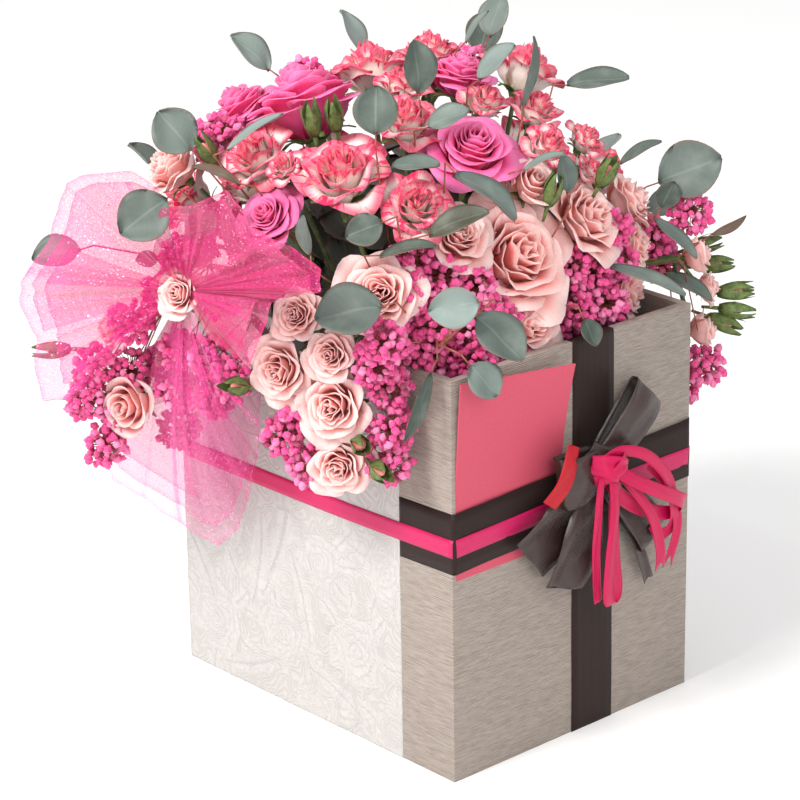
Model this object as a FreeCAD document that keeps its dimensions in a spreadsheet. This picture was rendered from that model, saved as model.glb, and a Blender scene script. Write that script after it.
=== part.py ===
"""Flower box: a rigid paper-covered gift box with ribbons, a card and a lift-out bouquet.

Frame: origin at the middle of the box's underside, +Z up, the bow on the -Y face.
All lengths are in millimetres and all angles in degrees.
"""
import FreeCAD, Part
import math
import os
import re

import Sketcher

from FreeCAD import Placement, Rotation, Vector

os.makedirs("parts", exist_ok=True)
doc = FreeCAD.newDocument("flower_box")

# ---------------------------------------------------------------- driving sizes

SIZES = {
    # rigid box
    "box_width": 220,
    "box_depth": 275,
    "box_height": 280,
    "board": 5,
    "paper": 0.5,
    "ivory_paper": 0.4,
    "side_strip": 50,
    # ribbons, each a layer of its own in front of the paper
    "ribbon": 0.4,
    "upright_ribbon_width": 38,
    "upright_ribbon_centre": 17,
    "ribbon_turn_in": 60,
    "band_width": 42,
    "band_centre": 174,
    "pink_width": 14,
    "pink_centre": 168,
    "knot_rise": 18,
    # card
    "card_width": 95,
    "card_thick": 1,
    "card_play": 0.4,
    "card_foot": 57,
    "card_flap": 80,
    "card_lean": 7,
    "card_left": -107,
    "card_bottom": 143,
    # inside
    "liner_wall": 1,
    "liner_gap": 1,
    "liner_depth": 100,
    "liner_below_rim": 30,
    "foam_gap": 0.5,
    "riser_board": 3,
    "riser_margin": 20,
    # flowers
    "head_share": 0.84,
    "cup_share": 0.72,
    "crown_share": 0.38,
    "crown_top": 0.55,
    "rose_stem": 4,
    "leaf_stem": 2,
    "berry_stem": 1.4,
    "berry_cluster": 21,
    "leaf_thick": 1,
    "petiole": 10,
    "petiole_radius": 0.6,
    "tulle": 1.2,
}

sizes = doc.addObject("Spreadsheet::Sheet", "sizes")
for row, (alias, value) in enumerate(SIZES.items(), start=1):
    sizes.set(f"A{row}", alias)
    sizes.set(f"B{row}", str(value))
    sizes.setAlias(f"B{row}", alias)
doc.recompute()


def size(alias):
    """A driving size as a number."""
    return float(sizes.get(alias))


def with_sheet(word):
    return f"sizes.{word.group(0)}" if word.group(0) in SIZES else word.group(0)


def cell(formula):
    """A formula on bare size names, as an expression on the sheet."""
    return re.sub(r"[a-z_]+", with_sheet, str(formula))


def bind(item, prop, formula):
    item.setExpression(prop, cell(formula))


# The bouquet is laid out for this plan and spreads with the box.
PLAN_WIDTH = 220
PLAN_DEPTH = 275
spread_x = size("box_width") / PLAN_WIDTH
spread_y = size("box_depth") / PLAN_DEPTH
rim = size("box_height")


def over_rim(x, y, rise):
    """A point of the bouquet: plan position, and rise above the box's rim."""
    return Vector(x * spread_x, y * spread_y, rim + rise)


def aim(heading, climb, roll=0.0):
    """Turn +X to a compass heading and a climb above level, rolled about itself."""
    return Rotation(heading, -climb, roll)


# ---------------------------------------------------------------- plain shapes

nodes = []


def keep(item, name):
    """Register an object as one sub-part, which is written under this name."""
    item.Label = name
    nodes.append(item)
    return item


def block(name, lengths, corner):
    """A rectangular board or strip: its three lengths and its lowest corner."""
    solid = doc.addObject("Part::Box", name)
    for prop, formula in zip(("Length", "Width", "Height"), lengths):
        bind(solid, prop, formula)
    for axis, formula in zip("xyz", corner):
        bind(solid, f"Placement.Base.{axis}", formula)
    return solid


def fused(name, shapes):
    joined = doc.addObject("Part::MultiFuse", name)
    joined.Shapes = shapes
    return joined


def cut(name, base, tool):
    result = doc.addObject("Part::Cut", name)
    result.Base = base
    result.Tool = tool
    return result


def group(name, members):
    """Separate solids that share one node."""
    compound = doc.addObject("Part::Compound", name)
    compound.Links = members
    return keep(compound, name)


def ring(name, across, along, wall, bottom, height):
    """A four-sided sleeve: outer size, wall thickness, foot and height.

    The tool that hollows it runs 1 mm past either end.
    """
    outer = block(f"{name}_outer", (across, along, height),
                  (f"-({across})/2", f"-({along})/2", bottom))
    inner = block(f"{name}_inner",
                  (f"{across} - 2*({wall})", f"{along} - 2*({wall})", f"{height} + 2"),
                  (f"-({across})/2 + {wall}", f"-({along})/2 + {wall}", f"{bottom} - 1"))
    return keep(cut(name, outer, inner), name)


# ---------------------------------------------------------------- the rigid box

CORE_WIDTH = "(box_width - 2*paper)"
CORE_DEPTH = "(box_depth - 2*paper)"
CORE_HEIGHT = "(box_height - 2*paper)"
INNER_WIDTH = "(box_width - 2*paper - 2*board)"
INNER_DEPTH = "(box_depth - 2*paper - 2*board)"


def make_boards():
    half_width = f"{CORE_WIDTH}/2"
    half_depth = f"{CORE_DEPTH}/2"
    keep(block("base_board", (INNER_WIDTH, INNER_DEPTH, "board"),
               (f"-{INNER_WIDTH}/2", f"-{INNER_DEPTH}/2", "paper")), "base_board")
    for name, y in (("front_board", f"-{half_depth}"), ("back_board", f"{half_depth} - board")):
        keep(block(name, (CORE_WIDTH, "board", CORE_HEIGHT),
                   (f"-{half_width}", y, "paper")), name)
    for name, x in (("left_board", f"-{half_width}"), ("right_board", f"{half_width} - board")):
        keep(block(name, ("board", INNER_DEPTH, CORE_HEIGHT),
                   (x, f"-{INNER_DEPTH}/2", "paper")), name)


def make_papers():
    keep(block("base_paper", ("box_width", "box_depth", "paper"),
               ("-box_width/2", "-box_depth/2", "0")), "base_paper")
    ring("cover_paper", "box_width", "box_depth", "paper", "paper", CORE_HEIGHT)
    ring("rim_paper", "box_width", "box_depth", "(board + 2*paper)",
         "(box_height - paper)", "paper")
    ring("lining_paper", INNER_WIDTH, INNER_DEPTH, "paper", "(board + paper)",
         "(box_height - board - 2*paper)")
    panels = []
    for side, x in (("left", "-box_width/2 - ivory_paper"), ("right", "box_width/2")):
        panels.append(block(f"ivory_{side}",
                            ("ivory_paper", "box_depth - side_strip", "box_height"),
                            (x, "side_strip - box_depth/2", "0")))
    group("ivory_panels", panels)


def make_riser():
    """A card stand on the base that holds the liner tray up near the rim."""
    height = "(box_height - liner_below_rim - liner_depth - board - paper)"
    span = f"({INNER_WIDTH} - 2*riser_margin)"
    legs = []
    for index, y in enumerate(("-box_depth/4", "0", "box_depth/4")):
        legs.append(block(f"riser_leg_{index + 1}", (span, "riser_board", height),
                          (f"-{span}/2", f"{y} - riser_board/2", "board + paper")))
    group("riser", legs)


# ---------------------------------------------------------------- ribbons

FRONT = "(-box_depth/2)"
# The bands stand off the front by the card and its play.
BAND_BACK = f"({FRONT} - card_thick - card_play)"


def make_upright_ribbon():
    """Brown ribbon up the front, over the rim and down inside, under the band."""
    left = "(upright_ribbon_centre - upright_ribbon_width/2)"
    width = "upright_ribbon_width"
    turn = "(board + 2*paper)"
    pieces = [
        block("upright_front", (width, "ribbon", "box_height + ribbon"),
              (left, f"{FRONT} - ribbon", "0")),
        block("upright_top", (width, f"{turn} + 2*ribbon", "ribbon"),
              (left, f"{FRONT} - ribbon", "box_height")),
        block("upright_inside", (width, "ribbon", "ribbon_turn_in + ribbon"),
              (left, f"{FRONT} + {turn}", "box_height - ribbon_turn_in")),
    ]
    keep(fused("upright_ribbon", pieces), "upright_ribbon")


def make_brown_band():
    """The band lies across the front and round both corners to the ivory paper."""
    front = f"({BAND_BACK} - ribbon)"
    side = "(box_width/2 + ribbon)"
    low = "(band_centre - band_width/2)"
    wrap = f"(side_strip - box_depth/2 - {front})"
    pieces = [
        block("brown_front", (f"2*{side}", "ribbon", "band_width"), (f"-{side}", front, low)),
        block("brown_left", ("ribbon", wrap, "band_width"), (f"-{side}", front, low)),
        block("brown_right", ("ribbon", wrap, "band_width"),
              (f"{side} - ribbon", front, low)),
    ]
    keep(fused("brown_band", pieces), "brown_band")


def make_pink_band():
    """A narrow ribbon over the brown band and the ivory paper, all the way round."""
    front = f"({BAND_BACK} - 2*ribbon)"
    side = "(box_width/2 + ivory_paper + ribbon)"
    back = "(box_depth/2 + ribbon)"
    low = "(pink_centre - pink_width/2)"
    depth = f"({back} - {front})"
    pieces = [
        block("pink_front", (f"2*{side}", "ribbon", "pink_width"), (f"-{side}", front, low)),
        block("pink_back", (f"2*{side}", "ribbon", "pink_width"),
              (f"-{side}", f"{back} - ribbon", low)),
        block("pink_left", ("ribbon", depth, "pink_width"), (f"-{side}", front, low)),
        block("pink_right", ("ribbon", depth, "pink_width"),
              (f"{side} - ribbon", front, low)),
    ]
    keep(fused("pink_band", pieces), "pink_band")


# Loops and tails of the bow: start and end measured from the knot (right, out, up),
# width and thickness. The brown satin lies behind the pink ribbon.
BROWN_BOW = [
    ((-9, 3.7, 0), (9, 3.7, 0), 16, 2.8),
    ((-2, 11, -4), (36, 11, 44), 34, 10),
    ((4, 11, 4), (-40, 11, 8), 34, 12),
    ((0, 11, 4), (-38, 11, -72), 24, 9),
    ((-4, 11, 0), (-70, 11, -38), 18, 8),
    ((-4, 11, 4), (44, 11, -44), 26, 9),
]
PINK_BOW = [
    ((-14, 23, 0), (16, 23, 0), 22, 12),
    ((0, 25, 0), (64, 26, -30), 10, 8),
    ((0, 25, 0), (40, 26, -84), 11, 8),
    ((0, 25, 0), (4, 26, -94), 12, 8),
    ((0, 25, 0), (-12, 26, -54), 8, 6),
]
RED_TAB = ((-34, 19.2, 24), (-54, 19.2, -14), 10, 2)


def strap(name, start, end, width, thick):
    """A flat run of ribbon in the plane of the front, from start to end."""
    begin = Vector(start[0], -start[1], start[2])
    finish = Vector(end[0], -end[1], end[2])
    run = finish - begin
    solid = doc.addObject("Part::Box", name)
    solid.Length = run.Length
    solid.Width = thick
    solid.Height = width
    heading = math.degrees(math.atan2(run.y, run.x))
    climb = math.degrees(math.asin(run.z / run.Length))
    turn = aim(heading, climb)
    knot = Vector(size("upright_ribbon_centre"), -size("box_depth") / 2,
                  size("band_centre") + size("knot_rise"))
    low_corner = turn.multVec(Vector(0, -thick / 2, -width / 2))
    solid.Placement = Placement(knot + begin + low_corner, turn)
    return solid


def make_bow():
    keep(fused("bow_brown", [strap(f"brown_fold_{index + 1}", *fold)
                             for index, fold in enumerate(BROWN_BOW)]), "bow_brown")
    keep(fused("bow_pink", [strap(f"pink_fold_{index + 1}", *fold)
                            for index, fold in enumerate(PINK_BOW)]), "bow_pink")
    keep(strap("red_tab", *RED_TAB), "red_tab")


# ---------------------------------------------------------------- card


def origin_plane(body, role):
    return next(plane for plane in body.Origin.OriginFeatures if plane.Role == role)


def outline(body, name, role, corners):
    """A closed outline on one of the body's own planes, each corner set by formulas."""
    sketch = body.newObject("Sketcher::SketchObject", name)
    sketch.AttachmentSupport = [(origin_plane(body, role), "")]
    sketch.MapMode = "FlatFace"
    count = len(corners)
    rough = [Vector(10.0 * math.cos(2 * math.pi * i / count),
                    10.0 * math.sin(2 * math.pi * i / count), 0) for i in range(count)]
    for i in range(count):
        sketch.addGeometry(Part.LineSegment(rough[i], rough[(i + 1) % count]), False)
    for i in range(count):
        sketch.addConstraint(Sketcher.Constraint("Coincident", i, 2, (i + 1) % count, 1))
    for i, (across, up) in enumerate(corners):
        for kind, formula in (("DistanceX", across), ("DistanceY", up)):
            index = sketch.addConstraint(Sketcher.Constraint(kind, -1, 1, i, 1, 5.0))
            sketch.setExpression(f"Constraints[{index}]", cell(formula))
    return sketch


def make_card():
    """A card whose foot stands behind the band and whose flap leans out from it."""
    body = doc.addObject("PartDesign::Body", "card")
    foot = "card_foot"
    flap_out = "(-card_flap*sin(card_lean*1deg))"
    flap_up = "(card_foot + card_flap*cos(card_lean*1deg))"
    corners = [
        ("0", "0"),
        ("0", foot),
        (flap_out, flap_up),
        (f"{flap_out} - card_thick*cos(card_lean*1deg)",
         f"{flap_up} - card_thick*sin(card_lean*1deg)"),
        ("-card_thick", f"{foot} - card_thick*tan(card_lean*0.5deg)"),
        ("-card_thick", "0"),
    ]
    sketch = outline(body, "card_side", "YZ_Plane", corners)
    pad = body.newObject("PartDesign::Pad", "card_sheet")
    pad.Profile = sketch
    bind(pad, "Length", "card_width")
    bind(body, "Placement.Base.x", "card_left")
    bind(body, "Placement.Base.y", f"{FRONT} - card_play/2")
    bind(body, "Placement.Base.z", "card_bottom")
    keep(body, "card")


# ---------------------------------------------------------------- liner and foam


def make_liner():
    outer_width = f"({INNER_WIDTH} - 2*paper - 2*liner_gap)"
    outer_depth = f"({INNER_DEPTH} - 2*paper - 2*liner_gap - 2*ribbon)"
    bottom = "(box_height - liner_below_rim - liner_depth)"
    outer = block("liner_outer", (outer_width, outer_depth, "liner_depth"),
                  (f"-{outer_width}/2", f"-{outer_depth}/2", bottom))
    hollow = block("liner_hollow",
                   (f"{outer_width} - 2*liner_wall", f"{outer_depth} - 2*liner_wall",
                    "liner_depth"),
                   (f"-{outer_width}/2 + liner_wall", f"-{outer_depth}/2 + liner_wall",
                    f"{bottom} + liner_wall"))
    keep(cut("liner_tray", outer, hollow), "liner_tray")
    foam_width = f"({outer_width} - 2*liner_wall - 2*foam_gap)"
    foam_depth = f"({outer_depth} - 2*liner_wall - 2*foam_gap)"
    keep(block("floral_foam", (foam_width, foam_depth, "liner_depth - liner_wall"),
               (f"-{foam_width}/2", f"-{foam_depth}/2", f"{bottom} + liner_wall")),
         "floral_foam")


# ---------------------------------------------------------------- flower heads

# Every head is (x, y, rise above the rim, diameter, heading, climb): where its widest
# part is and which way it faces.
ROSES = {
    "hot_pink_rose_1": [(-82, 32, 146, 56, 95, 68)],
    "hot_pink_rose_2": [(-37, -82, 126, 60, -110, 60)],
    "hot_pink_rose_3": [(20, -10, 152, 46, -35, 80)],
    "hot_pink_rose_4": [(-150, -12, 90, 42, -170, 40)],
    "hot_pink_roses_back": [(74, 76, 130, 54, 45, 55), (-5, 112, 121, 54, 85, 55),
                            (-84, 94, 128, 52, 130, 55)],
    "striped_rose_1": [(-62, -46, 143, 42, -120, 70)],
    "striped_rose_2": [(-120, -48, 119, 56, -145, 62)],
    "striped_rose_3": [(-132, 22, 119, 46, 180, 50)],
    "striped_rose_4": [(-94, -90, 102, 42, -120, 45)],
    "striped_rose_5": [(-17, 40, 153, 48, 95, 80)],
    "striped_rose_6": [(38, -64, 134, 34, -65, 60)],
    "striped_rose_7": [(20, -92, 118, 34, -80, 55)],
    "striped_roses_small": [(4, -52, 144, 30, -80, 70), (66, -82, 112, 26, -55, 50),
                            (52, -100, 97, 22, -65, 45),
                            (-136, -12, 120, 22, -170, 50), (-30, -8, 152, 36, -60, 80),
                            (34, 36, 154, 42, 45, 80), (80, -8, 144, 46, 0, 62)],
    "striped_roses_back": [(134, 48, 67, 46, 15, 30), (100, 112, 64, 46, 42, 30),
                           (33, 144, 58, 46, 70, 30), (-37, 146, 58, 46, 100, 30),
                           (-104, 130, 62, 44, 128, 30), (138, -22, 64, 46, -8, 30)],
    "spray_roses_front": [(-26, -111, 58, 62, -100, 30), (-72, -106, 82, 34, -110, 35),
                          (-8, -104, 100, 24, -90, 45), (-26, -119, 14, 42, -95, 15)],
    "spray_roses_right": [(37, -113, 72, 44, -75, 35), (105, -87, 62, 36, -45, 30),
                          (91, -106, 38, 26, -55, 20), (79, -108, 10, 36, -60, 15)],
    "spray_roses_left": [(-129, -94, 53, 46, -135, 25), (-162, -50, 36, 30, -155, 20),
                         (-156, -76, 14, 30, -150, 15)],
    "spray_roses_low_left": [(-156, -77, -20, 44, -150, 10), (-170, -42, -1, 40, -160, 10),
                             (-153, -78, -62, 38, -145, 0)],
    "spray_roses_far_left": [(-137, 87, 91, 38, 150, 40), (-172, 44, 29, 28, -160, 20),
                             (-167, 114, -11, 26, 160, 5), (-163, 107, -62, 32, -165, 5)],
    "spray_roses_corner": [(140, -113, 21, 22, -40, 15), (146, -122, -1, 22, -45, 10),
                           (141, -118, -32, 22, -45, 5), (150, -34, 10, 40, -12, 10),
                           (150, 36, 10, 40, 10, 10)],
    "spray_roses_back_right": [(130, 100, 20, 38, 32, 10), (80, 140, 22, 40, 54, 10)],
    "spray_roses_back": [(24, 150, 14, 42, 76, 10), (-34, 152, 14, 40, 98, 10),
                         (-90, 144, 20, 40, 120, 10)],
}

# Green rosebuds, (x, y, rise, heading, climb), all of one size.
BUD_SWELL = 6.4
BUD_TAPER = 9.6
BUD_WIDTH = 9
BUD_FOOT = 2
BUD_TIP = 1.6
BUDS = [
    (-146, 51, 117, 165, 60), (-118, -20, 145, -165, 75), (-106, -28, 147, -155, 70),
    (-6, -121, 96, -90, 70), (-208, 142, -24, 150, 5), (-153, -98, -40, -120, 10),
    (-152, -114, -53, -110, 0), (152, -103, 22, -35, 15), (155, -111, 10, -40, 5),
    (158, -127, -6, -45, 5), (158, -129, -18, -45, -5), (152, -124, -26, -50, -20),
    (-188, -25, -12, -170, 20), (43, -121, 98, -75, 60),
]


def head(name, row):
    """A bloom's firm core: a cup that widens from the stem, and a crown on it."""
    x, y, rise, diameter, heading, climb = row
    radius = f"{diameter}*head_share/2"
    cup = doc.addObject("Part::Cone", f"{name}_cup")
    bind(cup, "Radius1", "rose_stem/2")
    bind(cup, "Radius2", radius)
    bind(cup, "Height", f"{radius}*cup_share")
    crown = doc.addObject("Part::Cone", f"{name}_crown")
    bind(crown, "Radius1", radius)
    bind(crown, "Radius2", f"{radius}*crown_top")
    bind(crown, "Height", f"{radius}*crown_share")
    centre = over_rim(x, y, rise)
    turn = facing(heading, climb)
    half = diameter * size("head_share") / 2
    cup_height = half * size("cup_share")
    cup.Placement = Placement(centre - turn.multVec(Vector(0, 0, cup_height)), turn)
    crown.Placement = Placement(centre, turn)
    return fused(f"{name}_head", [cup, crown])


def facing(heading, climb):
    """Turn +Z to a heading and a climb."""
    return aim(heading, climb).multiply(Rotation(Vector(0, 1, 0), 90))


def head_foot(row):
    """Where a bloom's stem joins its cup."""
    x, y, rise, diameter, heading, climb = row
    reach = diameter * size("head_share") / 2 * size("cup_share")
    return over_rim(x, y, rise) - facing(heading, climb).multVec(Vector(0, 0, reach))


def bud(name, row):
    x, y, rise, heading, climb = row
    swell = doc.addObject("Part::Cone", f"{name}_swell")
    swell.Radius1 = BUD_FOOT / 2
    swell.Radius2 = BUD_WIDTH / 2
    swell.Height = BUD_SWELL
    tip = doc.addObject("Part::Cone", f"{name}_tip")
    tip.Radius1 = BUD_WIDTH / 2
    tip.Radius2 = BUD_TIP / 2
    tip.Height = BUD_TAPER
    turn = facing(heading, climb)
    centre = over_rim(x, y, rise)
    swell.Placement = Placement(centre - turn.multVec(Vector(0, 0, BUD_SWELL)), turn)
    tip.Placement = Placement(centre, turn)
    return fused(f"{name}_bud", [swell, tip])


def make_flowers():
    for node, rows in ROSES.items():
        heads = [head(f"{node}_{index + 1}", row) for index, row in enumerate(rows)]
        if len(heads) == 1:
            keep(heads[0], node)
        else:
            group(node, heads)
    group("rosebuds", [bud(f"rosebud_{index + 1}", row) for index, row in enumerate(BUDS)])


# Clusters of dyed gypsophila buds, (x, y, rise), all of one size.
GYPSOPHILA = {
    "gypsophila_front": [(-101, -92, 68), (-84, -103, 57), (-64, -112, 48),
                         (-104, -100, 46), (-96, -106, 26), (-118, -96, 20),
                         (-72, -114, 21), (-90, -104, 5), (-74, -118, -1),
                         (-52, -120, 26)],
    "gypsophila_left": [(-139, -99, 10), (-128, -100, -8), (-130, -104, -34),
                        (-132, -103, -57), (-156, -46, -28), (-160, -34, -50),
                        (-154, -52, -68), (-140, -60, -34), (-148, -118, 30)],
    "gypsophila_far_left": [(-192, 124, -35), (-199, 127, -58), (-171, 112, -40),
                            (-180, 116, -70), (-152, 96, -34), (-166, 66, -16),
                            (-172, 26, -8), (-172, 4, -18), (-164, 70, -44),
                            (-168, 30, -40), (-190, 120, -92), (-148, 92, -84),
                            (-164, 82, 20), (-184, 92, 2), (-170, 14, 34)],
    "gypsophila_right": [(20, -112, 40), (41, -112, 31), (22, -117, 12), (48, -119, 11),
                         (118, -94, 34), (140, -108, 50), (142, -122, -55),
                         (132, -108, -72), (126, -96, 13), (61, -110, 55),
                         (64, -112, 33), (128, -60, 30)],
    "gypsophila_back": [(-108, 98, 108), (-118, 70, 122), (148, 4, 40), (152, 70, 20),
                        (108, 126, 30), (56, 148, 34), (-4, 156, 34), (-60, 147, 32),
                        (-120, 118, 26), (120, 80, 100), (66, 124, 96), (-44, 128, 96),
                        (148, -66, 20), (150, 0, 4), (54, 20, 146), (-52, 66, 146)],
}


def make_gypsophila():
    for node, rows in GYPSOPHILA.items():
        clusters = []
        for index, row in enumerate(rows):
            ball = doc.addObject("Part::Sphere", f"{node}_{index + 1}")
            bind(ball, "Radius", "berry_cluster/2")
            ball.Placement = Placement(over_rim(*row), Rotation())
            clusters.append(ball)
        group(node, clusters)


# Leaves, (x, y, rise, length, width, heading, climb, roll): the middle of the blade,
# its size, where its tip points and how it is rolled about its length.
EUCALYPTUS = {
    "eucalyptus_left": [
        (-161, 68, 133, 32, 30, 115, 45, -60), (-210, 40, 92, 36, 33, 150, -35, -65),
        (-206, 143, 43, 32, 26, 140, -10, -35), (-145, 6, 143, 41, 12, -30, 30, 5),
        (-170, 14, 118, 32, 12, 130, 20, -10), (-184, 14, 87, 24, 20, 160, -45, -50),
        (-178, -6, 92, 34, 12, 45, 70, -45), (-190, 65, 53, 14, 11, 140, 0, -50),
        (-162, -62, 92, 24, 14, 75, 70, -75)],
    "eucalyptus_top": [
        (-100, -60, 160, 30, 28, 45, 70, 0), (-55, -50, 178, 33, 26, 60, 70, 25),
        (5, -60, 172, 31, 22, -25, 40, 10), (21, -76, 165, 44, 14, 20, 65, 90),
        (33, -11, 182, 25, 9, -20, 50, 0), (87, -72, 146, 40, 20, -40, 5, 25),
        (-56, -80, 150, 27, 20, -35, 20, 25), (-10, -119, 121, 28, 10, -35, 20, 5)],
    "eucalyptus_front": [
        (-96, -93, 130, 29, 18, -40, 0, 15), (-66, -126, 112, 46, 28, -55, -35, 5),
        (-88, -122, 98, 39, 19, -35, 20, 30), (-118, -108, 84, 35, 13, -40, 10, 15),
        (-138, -90, 96, 24, 20, 145, -20, -70), (-168, -108, 54, 41, 35, 140, -10, -45),
        (-124, -156, 58, 31, 25, 140, -10, -80), (-97, -169, 35, 38, 32, -60, -40, 30),
        (-99, -157, 4, 26, 23, -40, -50, 60), (-132, -132, -12, 44, 11, 180, -60, -80)],
    "eucalyptus_right": [
        (4, -124, 110, 24, 18, 75, 70, 15), (86, -112, 106, 30, 11, -30, 25, 15),
        (141, -106, 80, 44, 38, -35, 20, 60), (122, -104, 66, 19, 16, -10, 55, 60),
        (112, -122, 42, 37, 14, -60, -40, 15), (62, -144, 30, 51, 17, -50, -20, 10),
        (124, -124, 6, 35, 14, -50, -30, 25), (160, -126, 40, 26, 8, -30, 25, 110),
        (4, -148, 8, 18, 16, -75, -60, 20)],
    "eucalyptus_back": [
        (160, 70, 60, 34, 28, 20, 30, 20), (120, 140, 56, 36, 28, 50, 25, 0),
        (60, 165, 62, 34, 24, 70, 20, 40), (-10, 170, 70, 36, 28, 95, 30, -20),
        (-74, 165, 50, 34, 26, 115, 10, 20), (-128, 140, 92, 32, 26, 130, 40, 0),
        (110, 60, 152, 36, 26, 30, 40, 0), (30, 110, 158, 34, 26, 80, 45, 30),
        (-60, 110, 160, 34, 24, 120, 40, -20), (168, -60, 40, 30, 24, -20, 20, 20),
        (178, 10, 62, 34, 28, 0, 30, -20), (90, 30, 172, 30, 22, 20, 50, 0)],
}


# How far a petiole runs into its blade.
PETIOLE_ROOT = 2


def leaf(name, centre, length, width, turn):
    """An oval blade with a short petiole that runs back from its base."""
    rim_curve = doc.addObject("Part::Ellipse", f"{name}_rim")
    rim_curve.MajorRadius = length / 2
    rim_curve.MinorRadius = width / 2
    blade = doc.addObject("Part::Extrusion", f"{name}_blade")
    blade.Base = rim_curve
    blade.DirMode = "Custom"
    blade.Dir = Vector(0, 0, 1)
    blade.Solid = True
    blade.Symmetric = True
    bind(blade, "LengthFwd", "leaf_thick")
    blade.Placement = Placement(centre, turn)
    stalk = doc.addObject("Part::Cylinder", f"{name}_stalk")
    bind(stalk, "Radius", "petiole_radius")
    bind(stalk, "Height", f"petiole + {PETIOLE_ROOT}")
    back = turn.multiply(Rotation(Vector(0, 1, 0), -90))
    stalk.Placement = Placement(
        centre + turn.multVec(Vector(PETIOLE_ROOT - length / 2, 0, 0)), back)
    return fused(name, [blade, stalk])


def make_eucalyptus():
    for node, rows in EUCALYPTUS.items():
        leaves = []
        for index, (x, y, rise, length, width, heading, climb, roll) in enumerate(rows):
            leaves.append(leaf(f"{node}_{index + 1}", over_rim(x, y, rise), length, width,
                               aim(heading, climb, roll)))
        group(node, leaves)


# Rose leaves between the blooms, just above the rim, round a rectangle with full corners.
FOLIAGE_COUNT = 20
FOLIAGE_HALF_WIDTH = 70
FOLIAGE_HALF_DEPTH = 88
FOLIAGE_SQUARENESS = 0.6
FOLIAGE_RISE = 9
FOLIAGE_CLIMB = 25
FOLIAGE_LENGTH = 34
FOLIAGE_WIDTH = 15


def squared(wave):
    """A cosine or sine pushed outwards, so that a circle fills its corners."""
    return math.copysign(abs(wave) ** FOLIAGE_SQUARENESS, wave)


def make_foliage():
    leaves = []
    for index in range(FOLIAGE_COUNT):
        angle = 2 * math.pi * (index + 0.5) / FOLIAGE_COUNT
        x = FOLIAGE_HALF_WIDTH * squared(math.cos(angle))
        y = FOLIAGE_HALF_DEPTH * squared(math.sin(angle))
        heading = math.degrees(math.atan2(y, x))
        leaves.append(leaf(f"rose_leaf_{index + 1}", over_rim(x, y, FOLIAGE_RISE),
                           FOLIAGE_LENGTH, FOLIAGE_WIDTH, aim(heading, FOLIAGE_CLIMB)))
    group("rose_foliage", leaves)


# ---------------------------------------------------------------- stems

# Every stem passes a throat above the rim and ends in the foam.
THROAT_RISE = 13
THROAT_SHARE = 0.6
THROAT_ROOM = 30
FOAM_SHARE = 0.86
FOAM_ENTRY = 18
# Stems of the lowest heads bend over the rim on the way.
OVER_RIM_RISE = 24
LOW_HEAD = 34
RIM_ROOM = 8
CARD_ROOM = 6
STEM_SIDES = 6
RUN_OVERLAP = 0.5


def within(value, limit):
    return max(-limit, min(limit, value))


def before_card(top):
    """Whether a stem's top hangs where the card rises past it."""
    left = size("card_left") - CARD_ROOM
    right = size("card_left") + size("card_width") + CARD_ROOM
    return left < top.x < right and top.y < -size("box_depth") / 2


def over_rim_bend(top):
    """Where a stem bends over the rim: straight behind its top, or beside the card."""
    half_width = size("box_width") / 2
    half_depth = size("box_depth") / 2
    if before_card(top):
        return Vector(size("card_left") - CARD_ROOM, CARD_ROOM - half_depth,
                      rim + OVER_RIM_RISE)
    return Vector(within(top.x, half_width + RIM_ROOM), within(top.y, half_depth + RIM_ROOM),
                  rim + OVER_RIM_RISE)


def stem_path(top):
    """From under a head, over the rim if it hangs outside, and down into the foam."""
    half_width = size("box_width") / 2
    half_depth = size("box_depth") / 2
    path = [top]
    outside = abs(top.x) > half_width - RIM_ROOM or abs(top.y) > half_depth - RIM_ROOM
    if before_card(top) or outside and top.z < rim + LOW_HEAD:
        path.append(over_rim_bend(top))
    throat = Vector(within(top.x * THROAT_SHARE, half_width - THROAT_ROOM),
                    within(top.y * THROAT_SHARE, half_depth - THROAT_ROOM),
                    rim + THROAT_RISE)
    path.append(throat)
    path.append(Vector(throat.x * FOAM_SHARE, throat.y * FOAM_SHARE,
                       rim - size("liner_below_rim") - FOAM_ENTRY))
    return path


def stem_run(start, end, radius):
    """A straight six-sided run that reaches a little into the next one."""
    way = end - start
    turn = Rotation(Vector(0, 0, 1), way)
    corners = []
    for index in range(STEM_SIDES):
        angle = 2 * math.pi * index / STEM_SIDES
        spoke = Vector(radius * math.cos(angle), radius * math.sin(angle), 0)
        corners.append(start + turn.multVec(spoke))
    face = Part.Face(Part.makePolygon(corners + corners[:1]))
    return face.extrude(way * (1 + radius * RUN_OVERLAP / way.Length))


def stem(path, radius):
    runs = [stem_run(start, end, radius) for start, end in zip(path, path[1:])]
    return runs[0].multiFuse(runs[1:])


def stem_node(name, tops, diameter):
    item = doc.addObject("Part::Feature", name)
    stems = [stem(stem_path(top), diameter / 2) for top in tops]
    item.Shape = stems[0].multiFuse(stems[1:])
    keep(item, name)


def make_stems():
    roses = [head_foot(row) for rows in ROSES.values() for row in rows]
    stem_node("rose_stems", roses, size("rose_stem"))
    berries = []
    for rows in GYPSOPHILA.values():
        for row in rows:
            berries.append(over_rim(*row))
    stem_node("gypsophila_stems", berries, size("berry_stem"))
    stalks = []
    for rows in EUCALYPTUS.values():
        for x, y, rise, length, _, heading, climb, roll in rows:
            reach = length / 2 + size("petiole")
            tip = aim(heading, climb, roll).multVec(Vector(reach, 0, 0))
            stalks.append(over_rim(x, y, rise) - tip)
    stem_node("eucalyptus_stems", stalks, size("leaf_stem"))


# ---------------------------------------------------------------- tulle

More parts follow.
